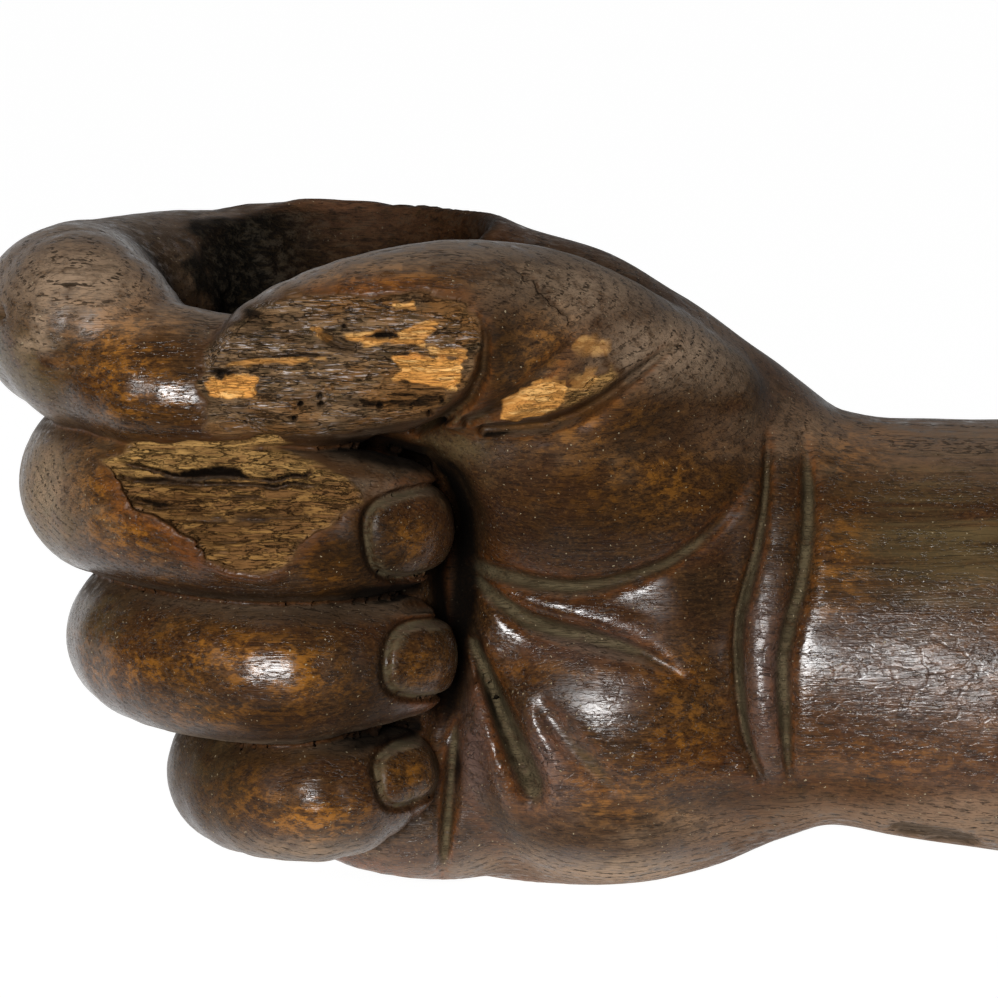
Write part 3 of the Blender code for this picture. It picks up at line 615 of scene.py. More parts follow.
freshWood = {  # patches where the dark skin has flaked off: outline, mm they are sunk, how fresh they look
    "tip": (((-127.6, 94.8), (-125.6, 95.4), (-124.4, 95), (-123.6, 96.1), (-118.4, 95.7), (-118.2, 92.1),
             (-121.5, 91.7), (-126.4, 91.9)), 0.35, 1.0),
    "root": (((-94.9, 99), (-91.5, 99.6), (-87, 99.1), (-83, 98.6), (-83.3, 96.2), (-84.2, 93.6), (-88, 94.1),
              (-91, 94.6), (-94.8, 95.2), (-93.6, 97)), 0.4, 1.0),
    "upper": (((-104.6, 102.9), (-98, 103.4), (-93.6, 103.6), (-88.6, 105.6), (-86.9, 105), (-88.2, 103.6),
               (-89.6, 101), (-95, 101.4), (-99.6, 101)), 0.25, 0.8),
    "chip": (((-76.1, 91), (-72.9, 93.2), (-69.4, 94.5), (-65, 94.1), (-64.8, 91.5), (-66.8, 88.9), (-69.4, 88),
              (-73.4, 87.1), (-76.4, 87.5)), 0.25, 0.7),
    "upperChip": (((-64, 100), (-62.6, 102.2), (-58.4, 101.8), (-57.8, 99.4), (-61, 98.8)), 0.3, 0.3),
    "wedge": (((-64.6, 92.4), (-64, 95), (-60.4, 96.6), (-59.2, 94.8), (-62, 92.6)), 0.1, 0.3),
    "edge": (((-88.6, 100.6), (-82.4, 100.9), (-82.2, 98.9), (-88.4, 99.4)), 0.2, 0.7),
    "spot": (((-95, 108.2), (-91.4, 108.6), (-91.2, 107.3), (-94.6, 107)), 0.2, 0.6),
    "sliver": (((-108.8, 104), (-107.8, 103.9), (-105.6, 102), (-106.4, 101.4)), 0.1, 0.7),
    "band": (((-126, 96.8), (-121.5, 98.2), (-113, 98.9), (-106.4, 98.9), (-106.4, 98.3), (-114, 98),
              (-121.5, 97.4)), 0.1, 0.6),
}


def splinters(x, z, length, width, seed):  # the height of rows of flat splinters laid end to end
    z = z + 0.5 * width * grainNoise(x / (1.6 * length), z / (3 * width), 0 * x, seed)
    row = np.floor(z / width)
    along = x / length + 3.0 * hashed(row, seed=seed + 5)
    along = along + 0.25 * grainNoise(x / 2, z / 0.7, 0 * x, seed + 6)
    cell = np.floor(along)
    height, nextHeight = (hashed(row, cell + ahead, seed=seed + 1) for ahead in (0, 1))
    return height + (nextHeight - height) * ease(along - cell, 0.9, 1.0)


def brokenWood(x, z, seed):  # torn oak: thick layers, splinters broken short, then fibres, all along X
    layers = np.round(3.0 * grainNoise(x / 15, z / 3.4, 0 * x, seed)) / 3.0
    coarse = splinters(x, z, 9.0, 1.5, seed + 10)
    fine = splinters(x, z, 4.5, 0.7, seed + 20)
    threads = grainNoise(x / 3.0, z / 0.42, 0 * x, seed + 3)
    lumps = grainNoise(x / 2.2, z / 1.1, 0 * x, seed + 4)
    return 0.55 * layers + 0.26 * coarse + 0.13 * fine + 0.12 * threads + 0.14 * lumps


def spot(x, z, place):  # 1 at the middle of a soft oval patch, fading with the square of the distance
    (midX, midZ), (reachX, reachZ) = place["middle"], place["reach"]
    return np.exp(-(((x - midX) / reachX) ** 2) - ((z - midZ) / reachZ) ** 2)


def weather(points, normals):  # mm to move each point along its normal, and the share of each finish there
    x, y, z = p = points.T
    front = palmSide(y)
    shown = y < -15  # the side that the broken faces and nails are on
    ragged = raggedEdge(x, z)
    shares = {}

    # The carver's shallow facets, longer along the grain.
    facets = grainNoise(x / 15, y / 9, z / 9, 11) + 0.6 * grainNoise(x / 8, y / 4.5, z / 4.5, 12)
    inHollow = ease(np.abs(hollowField(p)), 3.2, 1.0) * ease(z, 6, 14)
    move = relief["toolMarks"] * facets * (1 - inHollow)

    # Broken faces.
    tall, middle = relief["torn"]
    bare, tan, rim, height = np.zeros((4, len(points)))
    for seed, (outline, point, way, reach, spread, tanned, rough) in enumerate(scars.values()):
        way = np.array(way) / np.linalg.norm(way)
        edge = outlineDistance(x, z, outline) + ragged
        depth = np.abs((points - np.array(point)) @ way)
        on = ease(edge - spread * ease(z, 90, 86), 0.5, -0.7) * ease(depth, reach, 0.4 * reach) * shown
        torn = brokenWood(x, z, 40 + 50 * seed)
        move += on * ease(normals @ way, 0.5, 0.9) * (tall * torn + middle) * rough
        bare = np.maximum(bare, on)
        rim = np.maximum(rim, np.exp(-((edge / 0.9) ** 2)) * shown)
        height = np.where(on > 0.3, torn, height)
        tan = np.maximum(tan, on * tanned)
    shares.update(bare=bare, tan=tan, tanTop=tan * ease(z, 75, 79), scarRim=rim)
    shares["splinter"] = np.clip(0.5 + 0.6 * height, 0, 1)

    # Open cracks and holes, their sides stepped where fibres broke, their insides painted near black as painted
    # shade.
    dark = np.zeros(len(points))
    jag = 0.2 * np.round(2 * grainNoise(x / 3.4, z / 3, 0 * x, 71))
    jag = jag + 0.1 * grainNoise(x / 0.9, z / 0.5, 0 * x, 72)
    torn = np.stack([x + 0.5 * grainNoise(x / 1.2, z / 0.7, 0 * x, 73), y, z + jag])
    for lines in splits.values():
        for line in lines:
            sunk = furrows(torn, (line,), 2.0)[0] * front
            move -= sunk
            dark = np.maximum(dark, ease(sunk, 0.4, 1.5))
    for pitX, pitZ, radius, depth in pits:
        hole = ease(np.hypot(x - pitX, z - pitZ), radius * 1.15, radius * 0.7) * front
        move -= hole * depth
        dark = np.maximum(dark, hole)
    scoop = ease(outlineDistance(x, z, gouge), 0.2, -0.9) * front
    move -= relief["gouge"] * scoop
    dark = np.maximum(dark, 0.45 * scoop)
    shares["dark"] = dark * front

    # Flakes that show fresh wood.
    fresh = np.zeros(len(points))
    edge = 0.5 * grainNoise(x / 1.6, z / 0.6, 0 * x, 81)
    for outline, sunk, amount in freshWood.values():
        patch = ease(outlineDistance(x, z, outline) + edge, 0.2, -0.2) * front
        move -= sunk * patch
        fresh = np.maximum(fresh, amount * patch)
    shares["fresh"] = fresh * (1 - dark)

    # Drying cracks run in from the skin at the sawn end and die out along the arm.
    split = np.zeros(len(points))
    for outer, inner, width in endCracks:
        reach, t = strip(y, z, outer, inner)
        split = np.maximum(split, np.exp(-((reach / (width * (1.05 - t))) ** 2)) * ease(x, 138, 169))
    # the drying cracks painted near black: painted shade
    shares["dark"] = np.maximum(shares["dark"], 0.9 * ease(split, 0.3, 0.9))
    shares["sawn"] = ease(x, arm["sawnEnd"] - 1.8, arm["sawnEnd"] - 0.4)

    # Small knocks: a chip under the wrist, a rolled lip below the middle finger's scar, a ring-shaped scuff.
    chip = ease(outlineDistance(x, z, forearmChip) + 0.4 * ragged, 0.3, -0.5) * (y < 0) * (normals[:, 2] < 0)
    move -= relief["forearmChip"] * chip
    shares["chip"] = chip
    move -= furrows(p, (scarLip,), 2.0)[1] * front
    midX, midZ, radius, width, tall = relief["scuff"]
    move += tall * (np.exp(-(((np.hypot(x - midX, z - midZ) - radius) / width) ** 2)) * front)

    # Charred, pitted wood inside the hollow; the far wall keeps the gouge's long ridges.
    near = ease(x, -100, -122)
    char = 0.9 * grainNoise(x / 5, y / 4, z / 5, 91) + 0.5 * grainNoise(x / 2.2, y / 2, z / 2.2, 92)
    ridges = 0.5 * grainNoise(x / 22, y / 3, z / 2.2, 93) + 0.25 * grainNoise(x / 9, y / 1.5, z / 1.1, 94)
    move += inHollow * ease(z, 121, 116) * (near * relief["char"] * char + (1 - near) * ridges - 0.3)
    behindFinger = ease(y, -12, -3)
    scorch = spot(x, z, burn) * (1 + 0.7 * char) * behindFinger
    burnt = inHollow * ease(z, 122.8, 120.0) * (0.7 + 0.3 * near)
    shares["char"] = np.maximum(burnt, 0.95 * ease(scorch, 0.35, 0.6))

    # Dirt: in creases. Every recess is darkened, partly dirt and partly painted shade, and the gaps are painted
    # black as painted shade. Wear: on what stands proud.
    small = 1 - carvingField((points + normals * 2.5).T) / 2.5
    large = 1 - carvingField((points + normals * 8.0).T) / 8.0
    proud = 1 + carvingField((points - normals * 3.0).T) / 3.0
    gap = furrows(p, (cleft,))[0] * ease(y, -25, -16) * front
    slopeShade = 1.6 * (spot(x, z, paintedSlopeShade) * behindFinger)
    shares["cavity"] = np.maximum(ease(0.9 * small + 0.8 * large, 0.15, 0.9), slopeShade)
    # painted shade: black in the deepest gaps, the cleft and the seams between the fingers
    soot = np.maximum(ease(large, 1.25, 1.6), ease(gap, 2.5, 6.5)) * (y < 0)
    seam = ease(jointDistance(x, z), 2.6, 1.2) * ease(x, -112, -100) * ease(x, -87, -91) * (y < 0)
    shares["soot"] = np.maximum(soot, 0.95 * seam)
    shares["crease"] = ease(dustLine(p) * front + 0.5 * facets, 0.6, 2.2)
    cut = gougeCuts(p) * front
    shares["lip"] = ease(cut, 0.12, 0.4) * ease(cut, 1.3, 0.7)
    nailRim, nailLine = np.zeros((2, len(points)))
    for nail, (midX, _, half, *_) in nails.items():
        edge = nailReach(p, nail)
        side = 0.2 + 0.8 * ease(x - midX, 0.7 * half, -0.1 * half)
        band = ease(edge + 0.6 * ragged, -2.0, -0.9) * ease(edge, 0.5, 0.0)
        nailRim = np.maximum(nailRim, side * band * shown)
        nailLine = np.maximum(nailLine, np.exp(-(((edge - 0.7) / 0.5) ** 2)) * shown)
    shares.update(nailRim=nailRim, nailLine=nailLine, proud=np.clip(proud * 1.6, 0, 1))
    offFoot = ease(z, 0.2, relief["unmovedEdge"])
    move *= offFoot * ease(arm["sawnEnd"] - x, 0.2, relief["unmovedEdge"])
    move -= relief["endCrack"] * split * offFoot
    return move, shares


def carve(cadNode):
    base = bmesh.new()
    base.from_mesh(cadNode.data)
    bmesh.ops.remove_doubles(base, verts=base.verts, dist=0.01 * mm)
    mesh = bpy.data.meshes.new("rough")
    base.to_mesh(mesh)
    base.free()
    mesh = modified(mesh, "REMESH", mode="VOXEL", voxel_size=relief["baseStep"] * mm, adaptivity=0.0)
    points, triangles = meshArrays(mesh)
    bpy.data.meshes.remove(mesh)
    points = settle(points, triangles, 3, 0.6)
    print("base mesh", len(points), len(triangles))

    def longest(middle):  # mm an edge may be long, by where its middle is
        x, y, z = middle.T
        limit = np.full(len(middle), 9.0)
        scar = np.full(len(middle), np.inf)
        for outline, *_ in scars.values():
            scar = np.minimum(scar, outlineDistance(x, z, outline))
        crease = gougeCuts(middle.T) > 0.25
        limit[crease & (y < -8)] = relief["creaseStep"]
        limit[(jointDistance(x, z) < 2.2) & (y < 20)] = relief["jointStep"]
        for nail in nails:
            limit[(np.abs(nailReach(middle.T, nail)) < 1.5) & (y < -14)] = relief["nailStep"]
        limit[(scar < 1.0) & (y < -22)] = relief["scarStep"]
        for outer, inner, _ in endCracks:
            limit[(strip(y, z, outer, inner)[0] < 1.4) & (x > 140)] = relief["creaseStep"]
        crack = furrows(middle.T, splits["shoulderCrack"])[0] > 0.02
        limit[crack & (y < -8)] = relief["scarStep"]
        return limit

    for _ in range(3):
        points, triangles = splitEdges(points, triangles, longest)
        print("refined", len(points), len(triangles))
    points = settle(points, triangles, 2, 0.3)
    normals = pointNormals(points, triangles)
    move, _ = weather(points, normals)
    points = points + normals * move[:, None]
    print("weathered")
    low, high = (np.array(corner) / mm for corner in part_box("hand_and_forearm"))
    points = np.clip(points, low, high)
    mesh = meshFrom(points, triangles)
    if len(triangles) > relief["triangles"]:
        mesh = modified(mesh, "DECIMATE", ratio=relief["triangles"] / len(triangles))
    points, triangles = meshArrays(mesh)
    normals = pointNormals(points, triangles)
    _, shares = weather(points, normals)
    for name, share in shares.items():
        paint(mesh, name, share)
    mesh.shade_smooth()
    print("carving", len(points), len(triangles))
    return placed("carved_fist", mesh)


def linear(code):  # sRGB hex to linear colour
    parts = [int(code[i:i + 2], 16) / 255 for i in (1, 3, 5)]
    return tuple(c / 12.92 if c <= 0.04045 else ((c + 0.055) / 1.055) ** 2.4 for c in parts) + (1.0,)


def add(tree, kind, settings=None, inputs=None, out=0):  # one node; inputs are values or sockets
    made = tree.nodes.new(kind)
    for name, value in (settings or {}).items():
        setattr(made, name, value)
    for name, value in (inputs or {}).items():
        if isinstance(value, bpy.types.NodeSocket):
            tree.links.new(value, made.inputs[name])
        else:
            made.inputs[name].default_value = value
    return made.outputs[out] if made.outputs else made


def ramp(tree, value, low, high, least=0.0, most=1.0):  # from least at low to most at high, along an S curve
    return add(tree, "ShaderNodeMapRange", {"interpolation_type": "SMOOTHSTEP"}, {
        "Value": value, "From Min": low, "From Max": high, "To Min": least, "To Max": most,
    })


def maths(tree, operation, a, b=0.0):
    return add(tree, "ShaderNodeMath", {"operation": operation}, {0: a, 1: b})


def emptyTree(block):  # the node tree of a material or world, cleared
    block.use_nodes = True
    block.node_tree.nodes.clear()
    return block.node_tree


oak = {
    "base": "#2b1b0e",
    "polish": 0.17,  # roughness of the waxed skin
    "noises": {  # length and width in mm of the marks, detail, roughness, and a shift that keeps them apart
        "fibre": (16, 0.5, 3, 0.6, 0.0),
        "streak": (60, 2.6, 3, 0.55, 3.1),
        "blotch": (20, 12, 4, 0.6, 7.7),
        "mottle": (3.2, 1.7, 4, 0.7, 1.9),
        "pore": (1.5, 0.42, 1, 0.5, 5.3),
        "hair": (9, 0.22, 2, 0.5, 6.1),
        "dust": (0.45, 0.45, 0, 0.5, 7.3),
        "check": (8, 1.3, 2, 0.5, 9.4),
        "speck": (0.7, 0.5, 2, 0.6, 4.2),
        "torn": (8, 1.2, 4, 0.6, 6.6),
        "tear": (13, 2.2, 4, 0.6, 2.7),
        "glint": (2.8, 0.3, 2, 0.6, 8.8),
        "rung": (6, 1.5, 2, 0.5, 5.7),
    },
    "lines": {  # thin lines where a noise crosses its middle value: the noise, and half the band of values
        "checks": ("check", 0.012),
        "tears": ("tear", 0.026),
        "scales": ("torn", 0.018),
        "rungs": ("rung", 0.022),
    },
    "crazing": (4.5, 0.07),  # mm across the cells of cracked varnish, and the crack's share of a cell
    "ringSpacing": 1.5,  # mm between growth rings
    "pith": (45.0, 10.0),  # y and z of the middle of the tree, beyond the back of the hand
    "heights": {  # where a share painted on the mesh is kept: the share, the splinter height from, to
        # raised splinters painted lighter as painted light, low ones darker as painted shade
        "bareHigh": ("bare", 0.2, 0.6),
        # painted glints on the highest splinters
        "bareTop": ("bare", 0.45, 0.8),
        "bareLow": ("bare", 0.34, 0.1),
        "tanLow": ("tan", 0.3, 0.05),
        "charHigh": ("char", 0.3, 0.75),
    },
    "layers": (  # the share, the mask it is broken up by, from, to, strength, colour, roughness
        (None, "fibre", 0.35, 0.68, 0.8, "#47301a", 0.2),
        (None, "blotch", 0.44, 0.6, 0.5, "#3b2010", None),
        (None, "speck", 0.52, 0.7, 0.45, "#6b4a28", None),
        (None, "speck", 0.46, 0.32, 0.5, "#120b06", None),
        ("olive", "streak", 0.3, 0.6, 0.8, "#685839", 0.3),
        ("amber", "fibre", 0.3, 0.6, 0.6, "#6b4318", 0.2),
        ("amber", "mottle", 0.46, 0.62, 0.78, "#a66b22", 0.2),
        # pale grey-brown: dust, with painted sheen on top and a painted reflection of the floor underneath
        ("film", "mottle", 0.2, 0.6, 0.85, "#a68e76", 0.85),
        ("proud", "mottle", 0.3, 0.6, 0.6, "#7a441c", None),
        # recesses darkened: dirt and painted shade
        ("cavity", "mottle", 0.3, 0.6, 0.6, "#2e2011", 0.9),
        # dark stains, and painted shade where a curve turns from the light
        ("stain", "mottle", 0.1, 0.5, 0.85, "#1a1108", 0.7),
        ("dull", None, 0.0, 1.0, 0.9, None, 0.95),
        (None, "hair", 0.56, 0.66, 0.5, "#1a110a", None),
        (None, "pores", 0.0, 1.0, 0.35, "#140c07", 0.5),
        ("film", "pores", 0.0, 1.0, 0.85, "#1c140c", 0.7),
        (None, "checks", 0.0, 1.0, 0.3, "#160d07", 0.5),
        # pale mauve over the crackled varnish: painted sheen
        ("crackle", "mottle", 0.2, 0.6, 0.5, "#7a625a", 0.36),
        ("crackle", "rungs", 0.0, 1.0, 0.7, "#1c110b", 0.6),
        ("crackle", "crazing", 0.0, 1.0, 0.35, "#24160e", 0.6),
        ("lip", "mottle", 0.42, 0.62, 0.35, "#74431c", None),
        ("nailRim", "mottle", 0.35, 0.62, 0.7, "#5d543f", 0.85),
        ("nailLine", "mottle", 0.3, 0.55, 0.7, "#0f0a06", 0.8),
        ("crease", "mottle", 0.2, 0.6, 0.85, "#5f553f", 0.9),
        ("crease", "streak", 0.42, 0.62, 0.5, "#332a1c", 0.9),
        ("crease", "hair", 0.52, 0.62, 0.7, "#2a2317", 0.9),
        (None, "dust", 0.81, 0.85, 0.8, "#a39478", 0.9),
        ("scarRim", None, 0.0, 1.0, 0.6, "#4c3018", 0.62),
        ("bare", None, 0, 1, 1.0, "#5c4732", 0.8),
        # raised splinters painted lighter: painted light
        ("bareHigh", "torn", 0.38, 0.6, 0.9, "#886b4c", 0.7),
        ("bare", "blotch", 0.46, 0.6, 0.65, "#80562a", 0.7),
        ("bare", "mottle", 0.5, 0.62, 0.5, "#37301f", 0.8),
        # pale specks on the highest splinters: painted glints
        ("bareTop", "glint", 0.54, 0.64, 0.9, "#aea29c", 0.2),
        # low splinters painted near black: painted shade
        ("bareLow", None, 0, 1, 0.9, "#120c07", 0.9),
        ("bare", "scales", 0.0, 1.0, 0.5, "#140d08", 0.9),
        ("bare", "tears", 0.0, 1.0, 0.7, "#0d0805", 0.9),
        ("tan", None, 0, 1, 1.0, "#755330", 0.8),
        ("tan", "torn", 0.45, 0.62, 0.8, "#98723f", 0.75),
        ("tan", "blotch", 0.46, 0.6, 0.6, "#4f3419", 0.75),
        ("tanTop", "torn", 0.3, 0.58, 0.75, "#ae8850", 0.75),
        # low splinters of the tan face painted dark: painted shade
        ("tanLow", None, 0, 1, 0.85, "#22160a", 0.9),
        ("tan", "scales", 0.0, 1.0, 0.5, "#2a1b0c", 0.9),
        ("tan", "tears", 0.0, 1.0, 0.75, "#1c1108", 0.9),
        ("bare", "hair", 0.56, 0.66, 0.6, "#1a110a", None),
        ("fresh", None, 0, 1, 1.0, "#dd9c50", 0.85),
        ("fresh", "torn", 0.5, 0.62, 0.9, "#f0bf78", 0.85),
        ("fresh", "torn", 0.42, 0.32, 0.8, "#8f5c2c", 0.85),
        ("fresh", "hair", 0.54, 0.64, 0.7, "#6b4220", 0.85),
        ("chip", "fibre", 0.2, 0.6, 0.85, "#35281a", 0.85),
        ("sawn", None, 0, 1, 1.0, "#6e5335", 0.8),
        ("sawn", "growth", 0, 1, 0.7, "#3c2815", 0.8),
        ("sawn", "blotch", 0.45, 0.65, 0.5, "#33241a", 0.8),
        ("sawn", "speck", 0.5, 0.7, 0.4, "#1f150c", 0.8),
        ("char", None, 0, 1, 1.0, "#090705", 0.9),
        ("char", "mottle", 0.47, 0.62, 0.5, "#3b342a", 0.85),
        ("charHigh", "fibre", 0.45, 0.7, 0.45, "#40331f", 0.85),
        # open cracks, holes and the gouge painted near black: painted shade
        ("dark", None, 0, 1, 0.95, "#080503", 0.9),
        # gaps between fingers, palm and thumb painted black: painted shade
        ("soot", None, 0, 1, 0.95, "#030201", 0.9),
    ),
    "relief": (  # the share, the mask, mm it stands out
        (None, "pores", -0.06), (None, "checks", -0.05), (None, "fibre", 0.035), (None, "mottle", 0.05),
        (None, "hair", -0.03), ("bare", "torn", 0.7), ("bare", "tears", -0.3), ("bare", "scales", -0.2),
        ("char", "mottle", 1.4), ("crackle", "rungs", -0.15), ("crackle", "crazing", -0.06),
        ("crease", "hair", -0.15),
    ),
}


def oldOak():  # oiled and waxed brown: glossy where hands rubbed it, dull where dust lies and where painted shade fills the gaps
    material = bpy.data.materials.new("old_waxed_oak")
    tree = emptyTree(material)
    place = add(tree, "ShaderNodeTexCoord", out=3)
    masks = {}
    for name, (length, width, detail, rough, shift) in oak["noises"].items():
        drawn = add(tree, "ShaderNodeMapping", None, {
            "Vector": place, "Location": (shift,) * 3, "Scale": (1000 / length, 1000 / width, 1000 / width),
        })
        masks[name] = add(tree, "ShaderNodeTexNoise", None, {
            "Vector": drawn, "Scale": 1.0, "Detail": detail, "Roughness": rough,
        })
    for name, (noise, band) in oak["lines"].items():
        off = maths(tree, "ABSOLUTE", maths(tree, "SUBTRACT", masks[noise], 0.5))
        masks[name] = ramp(tree, off, band, 0.2 * band)

    # Old varnish cracks into cells, longer along the grain.
    cell, crack = oak["crazing"]
    drawn = add(tree, "ShaderNodeMapping", None, {
        "Vector": place, "Scale": (700 / cell, 1000 / cell, 1000 / cell),
    })
    warp = add(tree, "ShaderNodeTexNoise", None, {"Vector": drawn, "Scale": 1.6, "Detail": 3.0}, out=1)
    drawn = add(tree, "ShaderNodeVectorMath", {"operation": "MULTIPLY_ADD"}, {0: warp, 1: (0.7,) * 3, 2: drawn})
    cells = add(tree, "ShaderNodeTexVoronoi", {"feature": "DISTANCE_TO_EDGE"}, {"Vector": drawn, "Scale": 1.0})
    masks["crazing"] = ramp(tree, cells, crack, 0.2 * crack)

    # Growth rings round the pith, with the open pores crowded into the first wood of each year.
    pithY, pithZ = (c * mm for c in oak["pith"])
    roundPith = add(tree, "ShaderNodeMapping", None, {
        "Vector": place, "Location": (0, -pithY, -pithZ), "Scale": (0.12, 1, 1),
    })
    ringWave = {"wave_type": "RINGS", "rings_direction": "X", "wave_profile": "SAW"}
    rings = add(tree, "ShaderNodeTexWave", ringWave, {
        "Vector": roundPith, "Scale": 2 * math.pi / (20 * oak["ringSpacing"] * mm), "Distortion": 0.9,
        "Detail": 2.0, "Detail Scale": 0.5,
    }, out=1)
    masks["growth"] = ramp(tree, rings, 0.5, 0.8, 0.1)
    masks["pores"] = maths(tree, "MULTIPLY", masks["growth"], ramp(tree, masks["pore"], 0.52, 0.6))

    shares = {}
    painted = {share for share, *_ in oak["layers"] if share} - set(oak["heights"])
    for name in sorted(painted | {"splinter"}):
        shares[name] = add(tree, "ShaderNodeAttribute", {"attribute_name": name}, out=2)
    for name, (whole, low, top) in oak["heights"].items():
        shares[name] = maths(tree, "MULTIPLY", shares[whole], ramp(tree, shares["splinter"], low, top))

    colour, rough = linear(oak["base"]), oak["polish"]
    for share, mask, low, top, strength, tint, dull in oak["layers"]:
        amount = ramp(tree, masks[mask], low, top, 0.0, strength) if mask else strength
        if share:
            amount = maths(tree, "MULTIPLY", shares[share], amount)
        if tint:
            mix = {0: amount, 6: colour, 7: linear(tint)}
            colour = add(tree, "ShaderNodeMix", {"data_type": "RGBA"}, mix, out=2)
        if dull:
            rough = add(tree, "ShaderNodeMix", None, {0: amount, 2: rough, 3: dull})
    shine = add(tree, "ShaderNodeMapRange", None, {  # dust and torn fibre hardly mirror anything
        "Value": rough, "From Min": 0.25, "From Max": 0.62, "To Min": 1.0, "To Max": 0.12,
    })

    height = 0.0
    for share, mask, tall in oak["relief"]:
        rise = maths(tree, "MULTIPLY", masks[mask], tall)
        if share:
            rise = maths(tree, "MULTIPLY", rise, shares[share])
        height = maths(tree, "ADD", height, rise)
    bump = add(tree, "ShaderNodeBump", None, {"Strength": 1.0, "Distance": 1.0 * mm, "Height": height})

    surface = add(tree, "ShaderNodeBsdfPrincipled", None, {
        "Base Color": colour, "Roughness": rough, "IOR": 1.5, "Specular Tint": shine, "Normal": bump,
    })
    add(tree, "ShaderNodeOutputMaterial", None, {"Surface": surface})
    return material


# Where the finish differs, seen from the palm side: x, z, half sizes in mm, amount. Some patches also carry
# painted light and shade.
patches = {
    "amber": (
        (-149, 106, 7, 6, 0.6), (-142, 100, 8, 10, 1.0), (-138, 93, 8, 5, 0.8), (-99, 112, 15, 3.5, 1.0),
        (-71.5, 101, 7, 6, 1.0), (-59, 86.5, 13, 5, 1.0), (-50, 77, 15, 8, 0.6), (-81.5, 101, 1.8, 8, 0.8),
        (-146, 76, 8, 9, 0.6), (-140, 69, 9, 6, 0.8), (-106, 64, 5, 7, 0.8), (-92, 66.5, 4, 4, 0.5),
        (-89.6, 43.7, 4, 4, 0.5), (-92.2, 23.8, 4, 4, 0.5), (-142, 43, 10, 5, 0.7), (-122, 46, 12, 5, 0.9),
        (-112, 44, 8, 6, 0.9), (-125, 36, 14, 3, 0.7), (-120, 20, 8, 6, 0.6), (-110, 17, 9, 5, 1.0),
        (-58, 20, 14, 7, 0.7), (-44, 30, 8, 10, 0.5), (-46, 42, 6, 5, 0.6), (-12, 81, 9, 4, 0.9),
        (-17, 60, 4, 10, 0.6), (-5, 27, 18, 5, 0.5), (-70, 88, 6, 2, 0.8), (-66, 42, 12, 2, 0.6),
        (40, 40, 50, 14, 0.45), (110, 60, 40, 12, 0.45),
    ),
    # dust, with painted sheen and painted floor reflection near the top and bottom edges
    "film": (
        (-53, 112, 25, 7, 0.9), (-150, 112, 18, 8, 0.9), (-157, 75, 7, 10, 0.8), (-156.6, 104, 1.6, 3, 1.0),
        (-157.5, 100.5, 3, 1.2, 0.9), (-98, 76, 6, 2, 0.5), (-41, 100, 18, 7, 1.0), (30, 84, 60, 5, 0.9),
        (10, 13, 50, 6, 1.0), (-54, 3, 34, 5, 1.0), (-20, 15, 12, 4, 0.9), (-112, 11, 14, 3, 0.7),
    ),
    # dark stains, and painted shade where a curve turns from the light
    "stain": (
        (-50, 85, 12, 7, 0.9), (-60, 72, 20, 12, 0.5), (-104, 65, 7, 6, 1.0), (-117, 35, 7, 4, 0.8),
        (-100, 38, 6, 6, 0.6), (-125, 24, 8, 10, 0.6), (-76, 102, 5, 8, 1.0), (-71, 108, 5, 5, 0.6),
        (-38, 76, 10, 10, 0.6), (-108, 53, 12, 2.5, 0.6), (-98, 61, 5, 5, 0.8), (-118, 121, 15, 4, 1.0),
        (-64, 41, 8, 4, 0.5), (-96, 86, 5, 3, 0.6), (-40, 54, 6, 8, 0.6), (-128, 57, 20, 2, 0.5),
        (-62, 13, 14, 4, 0.5), (-34, 19, 10, 3, 0.5), (-102, 44, 6, 6, 0.5),
    ),
    "dull": (
        (-62, 96, 22, 10, 1.0), (-36, 92, 20, 10, 1.0), (-40, 57, 8, 12, 0.8), (-56, 76, 24, 10, 1.0),
        (-60, 108, 20, 8, 0.8), (-125, 26, 12, 12, 0.4), (-104, 62, 7, 5, 1.0), (-110, 36, 14, 4, 0.8),
        (-58, 14, 20, 5, 0.9), (-14, 20, 20, 4, 0.8),
    ),
    # crackled varnish, where a pale mauve painted sheen also lies
    "crackle": (
        (-81, 27, 2.6, 10, 1.0), (-68, 26, 5, 9, 1.0), (-60, 47, 9, 3, 0.8), (-29.6, 42, 3.4, 15, 1.0),
        (6, 38, 22, 12, 0.6), (-56, 38, 6, 5, 0.5), (60, 34, 60, 9, 0.35),
    ),
    "olive": (
        (4, 66, 16, 13, 0.9), (-160, 95, 7, 9, 0.8), (-157, 72, 7, 12, 1.0), (-84, 84, 7, 5, 0.9),
        (-129, 26, 8, 9, 0.4), (70, 60, 60, 16, 0.6), (-148, 52, 6, 6, 0.5),
    ),
}


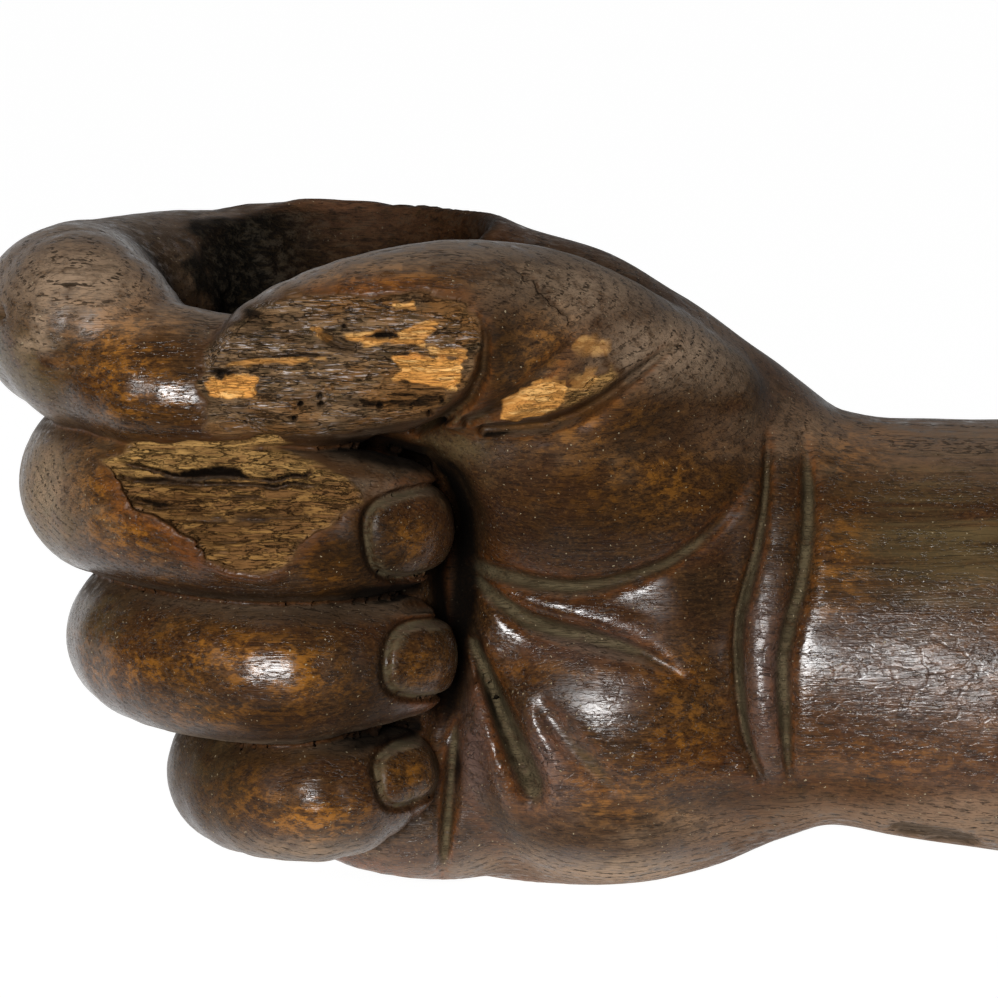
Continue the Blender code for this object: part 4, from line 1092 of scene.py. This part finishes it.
def addPatches(mesh):  # each patch fades as exp(-reach^2), with a ragged edge
    points, triangles = meshArrays(mesh)
    upward = pointNormals(points, triangles)[:, 2]
    x, y, z = points.T
    ragged = 0.9 * grainNoise(x / 9, y / 6, z / 4, 120) + 0.7 * grainNoise(x / 3, y / 2, z / 1.6, 121)
    behind = ease(y, 0, 14)
    for seed, (name, blobs) in enumerate(patches.items()):
        total = np.zeros(len(points))
        for midX, midZ, halfX, halfZ, amount in blobs:
            reach = ((x - midX) / halfX) ** 2 + ((z - midZ) / halfZ) ** 2
            total = np.maximum(total, amount * np.exp(-np.clip(reach * (1 + 0.6 * ragged), 0, 9)))
        elsewhere = 0.35 * ease(grainNoise(x / 50, y / 18, z / 15, 130 + seed), -0.2, 0.7)
        total = total + (elsewhere - total) * behind
        if name == "film":  # dust on what faces up, with painted sheen; on the underside a lighter grey, a painted reflection of the bright floor
            total = np.maximum(total, 0.7 * ease(upward, 0.6, 1.0))
            total = np.maximum(total, ease(-upward, 0.85, 1.0))
        if name == "amber":
            total = np.maximum(total, spot(x, z, wornRim))
        paint(mesh, name, total)


fist = carve(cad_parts["hand_and_forearm"])
addPatches(fist.data)
fist.data.materials.clear()
fist.data.materials.append(oldOak())
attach(fist, "root")
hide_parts("hand_and_forearm")
print("oak finished")


studio = {
    "paper": "#ffffff",
    "paperGlow": (0.8, 1.2),  # how far the camera sees paper as evenly lit, and how bright that is
    "backdrop": 1.1,  # the white sweep behind
    "room": 0.03, "ceiling": 0.06,  # the dark side of the studio, behind the camera
    "floorTurns": (-0.09, 0.0),  # y in metres over which the floor goes from dark to lit
    "wallTurns": (0.25, 0.8),  # the same for the walls, as the y of a direction
    "wallFades": (0.3, 0.75),  # z of a direction over which the lit wall fades upwards, to this share
    "wallTop": 0.3,
    "ceilingTurns": (0.35, 0.95),
    "key": {"place": (-0.30, -1.27, 0.175), "aim": (-0.08, -0.02, 0.06), "size": 0.42, "power": 20.0},
    "camera": {"aim": (-0.0766, 0.0, 0.0702), "away": 1.0, "tilt": 6, "width": 0.17964, "sensor": 36},
}


def sweepMaterial():  # white paper sweep: bright behind the carving, flagged off in front of it
    material = bpy.data.materials.new("white_paper_sweep")
    tree = emptyTree(material)
    paper = add(tree, "ShaderNodeBsdfDiffuse", None, {"Color": linear(studio["paper"])})
    seen = add(tree, "ShaderNodeLightPath")
    depth = add(tree, "ShaderNodeSeparateXYZ", None, {0: add(tree, "ShaderNodeTexCoord", out=3)}, out=1)
    lit = ramp(tree, depth, *studio["floorTurns"], studio["room"], studio["backdrop"])
    share, bright = studio["paperGlow"]
    unseen = add(tree, "ShaderNodeEmission", None, {"Color": (1, 1, 1, 1), "Strength": lit})
    glow = add(tree, "ShaderNodeEmission", None, {"Color": linear(studio["paper"]), "Strength": bright})
    shown = add(tree, "ShaderNodeMixShader", None, {0: share, 1: paper, 2: glow})
    surface = add(tree, "ShaderNodeMixShader", None, {0: seen, 1: unseen, 2: shown})
    add(tree, "ShaderNodeOutputMaterial", None, {"Surface": surface})
    return material


floorMesh = bpy.data.meshes.new("floor")
floorMesh.from_pydata([(-30, -30, 0), (30, -30, 0), (30, 30, 0), (-30, 30, 0)], [], [(0, 1, 2, 3)])
floorMesh.materials.append(sweepMaterial())
floor = placed("floor", floorMesh)

scene = bpy.context.scene
scene.world = bpy.data.worlds.new("studio")
tree = emptyTree(scene.world)
way = add(tree, "ShaderNodeTexCoord")
behind = add(tree, "ShaderNodeSeparateXYZ", None, {0: way}, out=1)
above = add(tree, "ShaderNodeSeparateXYZ", None, {0: way}, out=2)
wall = ramp(tree, behind, *studio["wallTurns"], studio["room"], studio["backdrop"])
wall = maths(tree, "MULTIPLY", wall, ramp(tree, above, *studio["wallFades"], 1.0, studio["wallTop"]))
ceiling = ramp(tree, above, *studio["ceilingTurns"], 0.0, studio["ceiling"])
unseen = maths(tree, "ADD", wall, ceiling)
toCamera = add(tree, "ShaderNodeLightPath")
strength = add(tree, "ShaderNodeMix", None, {0: toCamera, 2: unseen, 3: 1.0})
background = add(tree, "ShaderNodeBackground", None, {"Color": (1, 1, 1, 1), "Strength": strength})
add(tree, "ShaderNodeOutputWorld", None, {"Surface": background})

key = studio["key"]
light = bpy.data.lights.new("key", "AREA")
light.shape = "SQUARE"
light.size = key["size"]
light.energy = key["power"]
lamp = placed("key", light)
lamp.location = key["place"]
x, y, z = np.array(key["aim"]) - np.array(key["place"])
lamp.rotation_euler = (math.atan2(math.hypot(x, y), -z), 0, math.atan2(y, x) - math.pi / 2)
lamp.visible_camera = False

view = studio["camera"]
camera = placed("camera", bpy.data.cameras.new("camera"))
tilt = math.radians(view["tilt"])
camera.location = np.array(view["aim"]) + view["away"] * np.array((0.0, -math.cos(tilt), math.sin(tilt)))
camera.rotation_euler = (math.pi / 2 - tilt, 0, 0)
camera.data.sensor_width = view["sensor"]
camera.data.lens = view["sensor"] * view["away"] / view["width"]
camera.data.clip_start = 0.01
scene.camera = camera
scene.view_settings.view_transform = "Standard"

print("scene ready")
